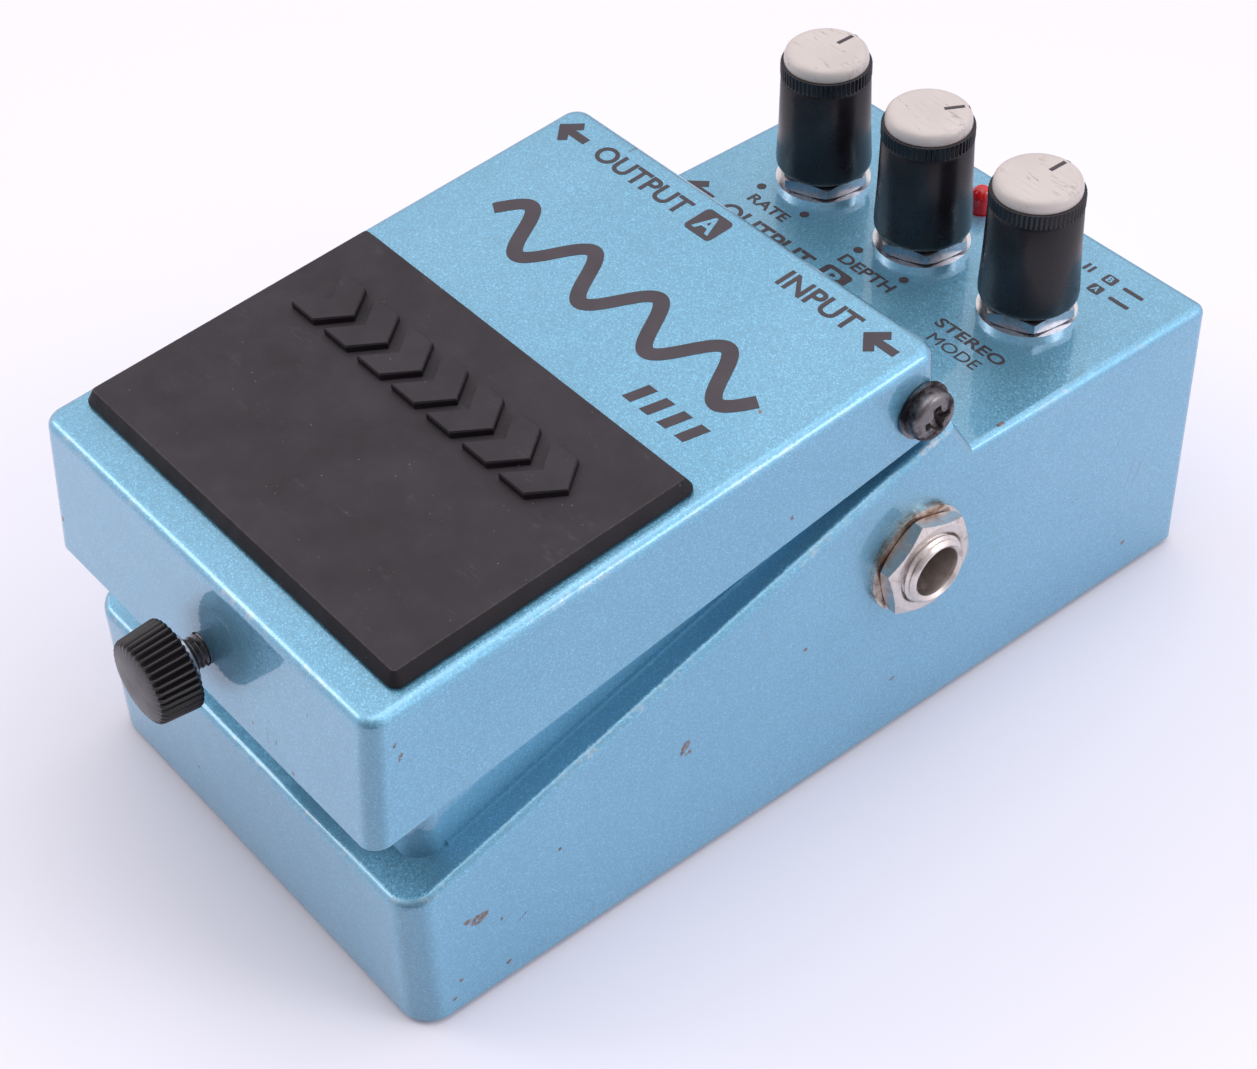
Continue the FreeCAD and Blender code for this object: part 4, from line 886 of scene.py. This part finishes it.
def make_return_spring():
    """Coil spring, as short as the pressed treadle makes it, because a rigid piece can't shorten."""
    low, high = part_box("return_spring")
    centre = middle("return_spring")
    turns, coil, wire, shortened = 7.7, 4.5, 0.55, 3.9
    sides, steps = 12, 40
    start = low[2] / MM + wire
    rise = high[2] / MM - wire - start - shortened
    points, faces = [], []
    count = int(turns * steps)
    slope = math.atan2(rise / turns, 2 * math.pi * coil)
    for k in range(count + 1):
        angle = 2 * math.pi * k / steps
        outward = Vector((math.cos(angle), math.sin(angle), 0))
        along = Vector((-math.sin(angle) * math.cos(slope), math.cos(angle) * math.cos(slope),
                        math.sin(slope)))
        up = outward.cross(along)
        at = outward * coil + Vector((0, 0, rise * k / count))
        for j in range(sides):
            turn = 2 * math.pi * j / sides
            points.append(tuple(at + outward * wire * math.cos(turn) + up * wire * math.sin(turn)))
    for k in range(count):
        for j in range(sides):
            a, b = k * sides, (k + 1) * sides
            n = (j + 1) % sides
            faces.append((a + j, a + n, b + n, b + j))
    faces.append(tuple(reversed(range(sides))))
    faces.append(tuple(range(count * sides, (count + 1) * sides)))
    spring = Shape().add(points, faces, facing((centre.x, centre.y, start), (0, 0, 1)))
    piece("return_spring_coil", spring, spring_steel, "case", ["return_spring"], crease=50)


make_jacks()
make_control_nuts()
make_return_spring()
make_pivot_screws()
make_thumbscrew()
make_lamp()


# ------------------------------------------------------------------ floor, light and camera

def make_floor():
    made = Finish("floor", Specular_IOR_Level=0.2)
    white = made.ramp(made.noise(700, 2.0), (0.3, (0.80, 0.79, 0.86)), (0.7, (0.82, 0.81, 0.88)))
    made.set(Base_Color=white, Roughness=made.ramp(made.noise(90, 2.0), (0.3, 0.6), (0.7, 0.7)))
    size = 2.5
    corners = [(-size, -size, 0), (size, -size, 0), (size, size, 0), (-size, size, 0)]
    mesh = bpy.data.meshes.new("floor")
    mesh.from_pydata(corners, [], [(0, 1, 2, 3)])
    mesh.materials.append(made.material)
    floor = bpy.data.objects.new("floor", mesh)
    scene.collection.objects.link(floor)


# Broad glows of the studio around the object: direction, colour
SKY = [((0, 0, 1), (0.38, 0.42, 0.40)),
       ((0.80, 0.43, 0.42), (1.36, 1.28, 1.42)),
       ((-0.76, -0.38, 0.53), (1.00, 0.88, 0.93))]
DIM_SIDE, DIM_SHARE = (0.60, -0.60, 0.53), 0.62     # the side left dark, and how much darker it is


def make_world():
    """Glows that fade away from their directions, dimmed on one side."""
    world = bpy.data.worlds.new("studio")
    world.use_nodes = True
    tree = world.node_tree
    background = tree.nodes["Background"]
    look = tree.nodes.new("ShaderNodeTexCoord").outputs["Generated"]

    def toward(direction):
        made = tree.nodes.new("ShaderNodeVectorMath")
        made.operation = "DOT_PRODUCT"
        made.inputs[1].default_value = direction
        tree.links.new(look, made.inputs[0])
        return made.outputs["Value"]

    total = None
    for direction, colour in SKY:
        above = tree.nodes.new("ShaderNodeMath")
        above.operation = "MAXIMUM"
        above.inputs[1].default_value = 0.0
        tree.links.new(toward(direction), above.inputs[0])
        glow = tree.nodes.new("ShaderNodeVectorMath")
        glow.operation = "SCALE"
        glow.inputs[0].default_value = colour
        tree.links.new(above.outputs["Value"], glow.inputs["Scale"])
        if total is None:
            total = glow.outputs["Vector"]
            continue
        both = tree.nodes.new("ShaderNodeVectorMath")
        tree.links.new(total, both.inputs[0])
        tree.links.new(glow.outputs["Vector"], both.inputs[1])
        total = both.outputs["Vector"]
    fade = tree.nodes.new("ShaderNodeMapRange")
    fade.interpolation_type = "SMOOTHSTEP"
    fade.inputs["From Min"].default_value = 0.2
    fade.inputs["To Min"].default_value = 1.0
    fade.inputs["To Max"].default_value = 1.0 - DIM_SHARE
    tree.links.new(toward(DIM_SIDE), fade.inputs["Value"])
    tree.links.new(fade.outputs["Result"], background.inputs["Strength"])
    tree.links.new(total, background.inputs["Color"])
    scene.world = world


def softbox(name, place, target, width, height, power):
    """White rectangular lamp in metres and watts, turned to its target."""
    light = bpy.data.lights.new(name, "AREA")
    light.shape = "RECTANGLE"
    light.size = width
    light.size_y = height
    light.energy = power
    made = bpy.data.objects.new(name, light)
    made.location = place
    made.rotation_euler = (Vector(target) - Vector(place)).to_track_quat("-Z", "Y").to_euler()
    scene.collection.objects.link(made)


def make_camera():
    """A standing view from the front right, a little rolled, with a slightly long lens."""
    azimuth, elevation, roll = math.radians(52.115), math.radians(43.167), math.radians(-2.267)
    distance, target = 0.32567, Vector((0.00098, -0.00571, 0.0210))
    back = Vector((math.sin(azimuth) * math.cos(elevation), -math.cos(azimuth) * math.cos(elevation),
                   math.sin(elevation)))
    right = Vector((0, 0, 1)).cross(back).normalized()
    up = back.cross(right)
    side = right * math.cos(roll) + up * math.sin(roll)
    rise = up * math.cos(roll) - right * math.sin(roll)
    camera = bpy.data.cameras.new("camera")
    camera.sensor_width = 36.0
    camera.lens = 74.66
    camera.shift_x = 0.0016
    camera.shift_y = -0.00245
    camera.clip_start = 0.01
    made = bpy.data.objects.new("camera", camera)
    look = Matrix((side, rise, back)).transposed().to_4x4()
    made.matrix_world = Matrix.Translation(target + back * distance) @ look
    scene.collection.objects.link(made)
    scene.camera = made


make_floor()
make_world()
softbox("rear", (-0.25, 0.85, 0.75), (0, 0, 0.03), 1.1, 0.8, 0.6)
softbox("overhead", (0.05, -0.05, 0.48), (0.01, -0.03, 0), 0.36, 0.36, 0.52)
softbox("left", (-0.75, -0.62, 0.72), (0, 0, 0.03), 0.40, 0.40, 1.9)
softbox("right", (0.82, 0.50, 0.72), (0, 0, 0.03), 0.40, 0.40, 2.1)
make_camera()
scene.view_settings.view_transform = "Standard"
